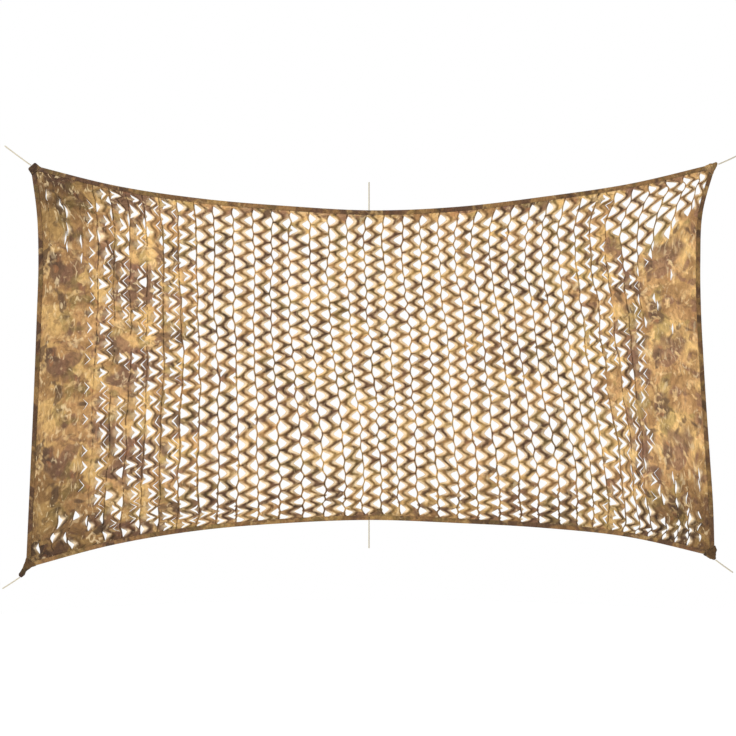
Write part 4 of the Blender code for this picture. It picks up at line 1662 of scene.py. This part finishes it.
@dataclass(frozen=True)
class CornerTab:
    """The tab sewn over one corner, where the two folded tapes run together."""

    panel: Panel
    corner: Corner
    # Sections beyond the cut: reach along the pull, offset of the middle, half width, half thickness.
    rows: Rows
    sides: int = 28
    squareness: float = 3.2
    groove: float = 0.30
    groove_width: float = 0.007
    crease: float = 0.05
    crease_turns: Pair = (620.0, 3.0)
    gap: float = 0.0004
    steps_between: int = 4
    stitch_reaches: tuple[float, ...] = (0.006, 0.020)
    stitch_pitch: float = 0.005
    stitch_length: float = 0.0036
    stitch_rise: float = 0.0001
    sewn_share: float = 0.84

    def across(self) -> Vector:
        """The way across the pull, along the cut."""
        on_edge, on_flank = self.panel.cut_ends(self.corner)
        return (on_edge - on_flank).normalized()

    def section(self, reach: float) -> tuple[float, ...]:
        """Offset, half width and half thickness of the tab at a reach."""
        columns = list(zip(*self.rows))
        return tuple(table_value(tuple(zip(columns[0], column)), reach) for column in columns[1:])

    def surface(self, reach: float, share: float) -> float:
        """Half thickness at a share of the half width, with the groove between the two tapes."""
        _, half_width, half_thickness = self.section(reach)
        rounded = max(1.0 - abs(share) ** self.squareness, 0.0) ** (1.0 / self.squareness)
        dip = 1.0 - self.groove * math.exp(-((share * half_width / self.groove_width) ** 2))
        along, sideways = self.crease_turns
        crease = 1.0 + self.crease * math.sin(reach * along + share * sideways)
        return half_thickness * rounded * dip * crease

    def point(self, reach: float, share: float, through: float) -> Vector:
        """Place a point of the tab from its reach, its share of the half width and its depth."""
        offset, half_width, _ = self.section(reach)
        on_edge, on_flank = self.panel.cut_ends(self.corner)
        outward = self.panel.cut_pull(self.corner) * (self.gap + reach)
        sideways = self.across() * (offset + share * half_width)
        return upright((on_edge + on_flank) / 2 + outward + sideways, through)

    def build(self, material: Material) -> None:
        """Build the tab as one closed, softly creased form.

        Args:
            material: The printed tape.
        """
        reaches = []
        for (low, *_), (high, *_) in zip(self.rows, self.rows[1:]):
            reaches += [blend(low, high, step / self.steps_between) for step in range(self.steps_between)]
        reaches.append(self.rows[-1][0])
        rings = []
        for reach in reaches:
            ring = []
            for step in range(self.sides):
                angle = math.tau * step / self.sides
                share = math.copysign(abs(math.cos(angle)) ** (2.0 / self.squareness), math.cos(angle))
                is_flank = step % (self.sides // 2) == 0
                through = 0.0 if is_flank else math.copysign(self.surface(reach, share), math.sin(angle))
                ring.append(self.point(reach, share, through))
            rings.append(ring)
        bm = bmesh.new()
        loft(bm, rings)
        piece = finish_piece(f"sewn_tab_{self.corner.label}", bm, material)
        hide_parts(f"corner_tab_{self.corner.label}")

    def sew_tacks(self, thread: Material) -> None:
        """Sew rows of short stitches across both faces of the tab."""
        run = upright(self.across())
        stitches = []
        for reach in self.stitch_reaches:
            _, half_width, _ = self.section(reach)
            count = max(int(2 * half_width * self.sewn_share / self.stitch_pitch), 2)
            for number in range(count):
                share = self.sewn_share * (2.0 * (number + 0.5) / count - 1.0)
                surface = self.surface(reach, share) + self.stitch_rise
                for front in (-surface, surface):
                    stitches.append(Stitch(self.point(reach, share, front), run, self.stitch_length))
        sew(f"tacks_{self.corner.label}", stitches, thread)


@dataclass(frozen=True)
class TieCord:
    """One twisted tie cord, straight but for the sag of its own weight."""

    name: str
    start: Pair
    end: Pair
    diameter: float = 0.006
    sag: float = 0.001
    strands: int = 3
    sides: int = 18
    twist_length: float = 0.022
    step: float = 0.0018
    point_spacing: float = 0.006
    least_points: int = 15
    strand_depth: float = 0.20
    strand_roundness: float = 0.7
    sealed_length: float = 0.004
    sealed_width: float = 0.2

    def place(self, share: float) -> Vector:
        """A point of the centreline at a share of its length."""
        start, end = Vector(self.start), Vector(self.end)
        level = abs((end - start).normalized().x)
        sag = self.sag * level * 4.0 * share * (1.0 - share)
        return upright(blend(start, end, share) - Vector((0.0, sag)))

    def path(self) -> list[Vector]:
        """The points that the cord follows."""
        straight = (Vector(self.end) - Vector(self.start)).length
        count = max(round(straight / self.point_spacing), self.least_points)
        return [self.place(step / count) for step in range(count + 1)]

    def length(self) -> float:
        """The cord's real length."""
        points = self.path()
        return sum((b - a).length for a, b in zip(points, points[1:]))

    def rounding(self, along: float, length: float) -> float:
        """How much the cord narrows towards its melted end."""
        left = min(max(length - along, 0.0) / self.sealed_length, 1.0)
        return math.sqrt(max(1.0 - (1.0 - left) ** 2, self.sealed_width**2))

    def build(self, material: Material) -> None:
        """Build the cord as one skin over its twisted strands.

        Args:
            material: The cord's yarn.
        """
        length = self.length()
        steps = round(length / self.step)
        side = Vector((0.0, 1.0, 0.0))
        upward = (self.place(1.0) - self.place(0.0)).normalized().cross(side)
        rings, grooves = [], []
        for step in range(steps + 1):
            share = step / steps
            centre = self.place(share)
            twist = math.tau * share * length / self.twist_length
            narrow = self.rounding(share * length, length)
            ring, depths = [], []
            for number in range(self.sides):
                angle = math.tau * number / self.sides
                lobe = abs(math.cos(self.strands * (angle - twist) / 2))
                dip = self.strand_depth * (1.0 - lobe**self.strand_roundness)
                radius = self.diameter / 2 * (1.0 - dip) * narrow
                ring.append(centre + (side * math.cos(angle) + upward * math.sin(angle)) * radius)
                depths.append((1.0 - lobe) * narrow)
            rings.append(ring)
            grooves.append(depths)
        bm = bmesh.new()
        groove = bm.verts.layers.float.new(GROOVE_MARK)
        for verts, depths in zip(loft(bm, rings), grooves):
            for vert, depth in zip(verts, depths):
                vert[groove] = depth
        piece = finish_piece(f"twisted_cord_{self.name}", bm, material)
        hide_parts(f"tie_cord_{self.name}")
        self.place(0.0)
        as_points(self.path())


@dataclass(frozen=True)
class BarTack:
    """The block of stitches that holds a cord in the fold of a level tape."""

    side: Side
    start_z: float
    inset: float = 0.003
    rows: int = 7
    row_pitch: float = 0.0018
    length: float = 0.010
    width: float = 0.0012
    surface: float = 0.0026

    def build(self, thread: Material) -> None:
        """Build the block of stitches on both faces of the tape."""
        inward = -1.0 if self.side is Side.TOP else 1.0
        across = Vector((1.0, 0.0, 0.0))
        stitches = []
        for row in range(self.rows):
            height = self.start_z + inward * (self.inset + row * self.row_pitch)
            for front in (-self.surface, self.surface):
                stitches.append(Stitch(Vector((0.0, front, height)), across, self.length, self.width))
        sew(f"bar_tack_{self.side.value}", stitches, thread)


@dataclass(frozen=True)
class Studio:
    """The camera, the lights, the pale floor and the white surroundings."""

    eye: Triple = (-0.0044, -7.556, -0.6858)
    lens: float = 85.0
    sensor: float = 36.0
    view_depth: float = 60.0
    floor_z: float = -2.30
    floor_radius: float = 4.5
    floor_sides: int = 96
    floor_grey: float = 0.9
    floor_light: float = 0.45
    sky_light: float = 0.50
    lamps: tuple[tuple[str, tuple[float, float, float], float, float], ...] = (
        # name, place, side, power
        ("key", (-3.8, -3.6, 3.2), 1.6, 280.0),
        ("fill", (4.2, -4.6, 0.4), 3.0, 70.0),
        ("back", (1.5, 5.0, 2.4), 3.0, 100.0),
    )

    def set_camera(self) -> None:
        """Make the camera, square on to the net."""
        camera = bpy.data.cameras.new("square_on")
        camera.lens = self.lens
        camera.sensor_width = self.sensor
        camera.clip_end = self.view_depth
        holder = bpy.data.objects.new("square_on", camera)
        holder.location = self.eye
        holder.rotation_euler = (math.pi / 2, 0.0, 0.0)
        bpy.context.scene.collection.objects.link(holder)
        bpy.context.scene.camera = holder

    def set_lights(self) -> None:
        """Make the lamps and the white surroundings."""
        aim = Vector((0.0, 0.0, self.eye[2]))
        for name, place, side, power in self.lamps:
            lamp = bpy.data.lights.new(f"{name}_light", "AREA")
            lamp.size = side
            lamp.energy = power
            holder = bpy.data.objects.new(f"{name}_light", lamp)
            holder.location = place
            holder.rotation_euler = (aim - Vector(place)).to_track_quat("-Z", "Y").to_euler()
            holder.visible_camera = False
            bpy.context.scene.collection.objects.link(holder)
        world = bpy.data.worlds.new("white_surroundings")
        bpy.context.scene.world = world
        world.use_nodes = True
        sheet = NodeSheet(world.node_tree)
        seen = sheet.add("ShaderNodeLightPath", {}, "Is Camera Ray")
        strength = sheet.maths("MULTIPLY_ADD", seen, 1.0 - self.sky_light, self.sky_light)
        sheet.feed(world.node_tree.nodes["Background"], {"Color": WHITE, "Strength": strength})
        bpy.context.scene.view_settings.view_transform = "Standard"

    def lay_floor(self) -> None:
        """Make the pale floor below the net."""
        bm = bmesh.new()
        place = Matrix.Translation((0.0, 0.0, self.floor_z))
        sides, radius = self.floor_sides, self.floor_radius
        bmesh.ops.create_circle(bm, cap_ends=True, segments=sides, radius=radius, matrix=place)
        settings = {
            "Base Color": (self.floor_grey, self.floor_grey, self.floor_grey, 1.0),
            "Roughness": self.floor_grey,
            "Emission Color": WHITE,
            "Emission Strength": self.floor_light,
        }
        material, _, _ = principled("pale_floor", settings)
        new_object("pale_floor", bm, material)


CORDS = (
    # name, (start x, start z), (end x, end z)
    ("top_left", (-1.4705, 0.1960), (-1.5850, 0.2810)),
    ("top_centre", (0.0, 0.0008), (0.0, 0.1235)),
    ("top_right", (1.5190, 0.2000), (1.6075, 0.2405)),
    ("bottom_left", (-1.5186, -1.5962), (-1.5950, -1.6456)),
    ("bottom_centre", (0.0, -1.3478), (0.0, -1.4705)),
    ("bottom_right", (1.5070, -1.5204), (1.5834, -1.5756)),
)

TABS = {
    # corner: (reach, offset, half width, half thickness), ...
    Corner.TOP_LEFT: (
        (0.000, 0.000, 0.0272, 0.0030), (0.014, 0.000, 0.0240, 0.0030), (0.030, 0.000, 0.0220, 0.0030),
        (0.034, 0.000, 0.0190, 0.0026), (0.0355, 0.000, 0.0170, 0.0016),
    ),
    Corner.TOP_RIGHT: (
        (0.000, 0.000, 0.0262, 0.0030), (0.024, 0.0015, 0.0180, 0.0030), (0.038, -0.001, 0.0110, 0.0028),
        (0.048, 0.000, 0.0066, 0.0024), (0.0515, 0.000, 0.0030, 0.0014),
    ),
    Corner.BOTTOM_LEFT: (
        (0.000, 0.000, 0.0280, 0.0034), (0.026, -0.0025, 0.0170, 0.0036),
        (0.048, -0.0025, 0.0110, 0.0040), (0.066, 0.0005, 0.0120, 0.0040),
        (0.076, -0.0005, 0.0110, 0.0038), (0.0835, 0.0010, 0.0065, 0.0024),
    ),
    Corner.BOTTOM_RIGHT: (
        (0.000, 0.000, 0.0330, 0.0042), (0.019, -0.001, 0.0270, 0.0048), (0.030, 0.004, 0.0180, 0.0048),
        (0.042, 0.005, 0.0090, 0.0040), (0.0480, 0.0045, 0.0050, 0.0024),
    ),
}

# How light each tape is printed.
TAPE_TONES = {"level_tape": 0.48, "upright_tape": 0.39, "corner_tape_dark": 0.22, "corner_tape_pale": 0.66}
BAR_TACK_HEIGHTS = {Side.TOP: 0.0, Side.BOTTOM: -1.347}


def main() -> None:
    """Build the studio, the cords and every piece of the net."""
    studio = Studio()
    studio.set_camera()
    studio.set_lights()
    studio.lay_floor()

    panel = Panel()
    fabric = (CamouflagePrint().group(), PlainWeave().group())
    net_cloth = NetPrint("camouflage_cloth", *fabric).material()
    tapes = {name: PrintedCloth(name, *fabric, tone=tone).material() for name, tone in TAPE_TONES.items()}
    thread = SewingThread().material()
    yarn = CordYarn().material()

    for name, start, end in CORDS:
        TieCord(name, start, end).build(yarn)
    NetCloth(panel, SlitPlan(panel), Stretch(panel)).build(net_cloth)
    for side in Side:
        binding = Binding(panel, side)
        binding.build(tapes["level_tape" if side.is_level else "upright_tape"])
        binding.sew_seam(thread)
    for corner, rows in TABS.items():
        tab = CornerTab(panel, corner, rows)
        tab.build(tapes["corner_tape_pale" if corner is Corner.TOP_RIGHT else "corner_tape_dark"])
        tab.sew_tacks(thread)
    for side, start_z in BAR_TACK_HEIGHTS.items():
        BarTack(side, start_z).build(thread)


if __name__ == "__main__":
    logging.basicConfig(level=logging.INFO, format="%(message)s")
    main()
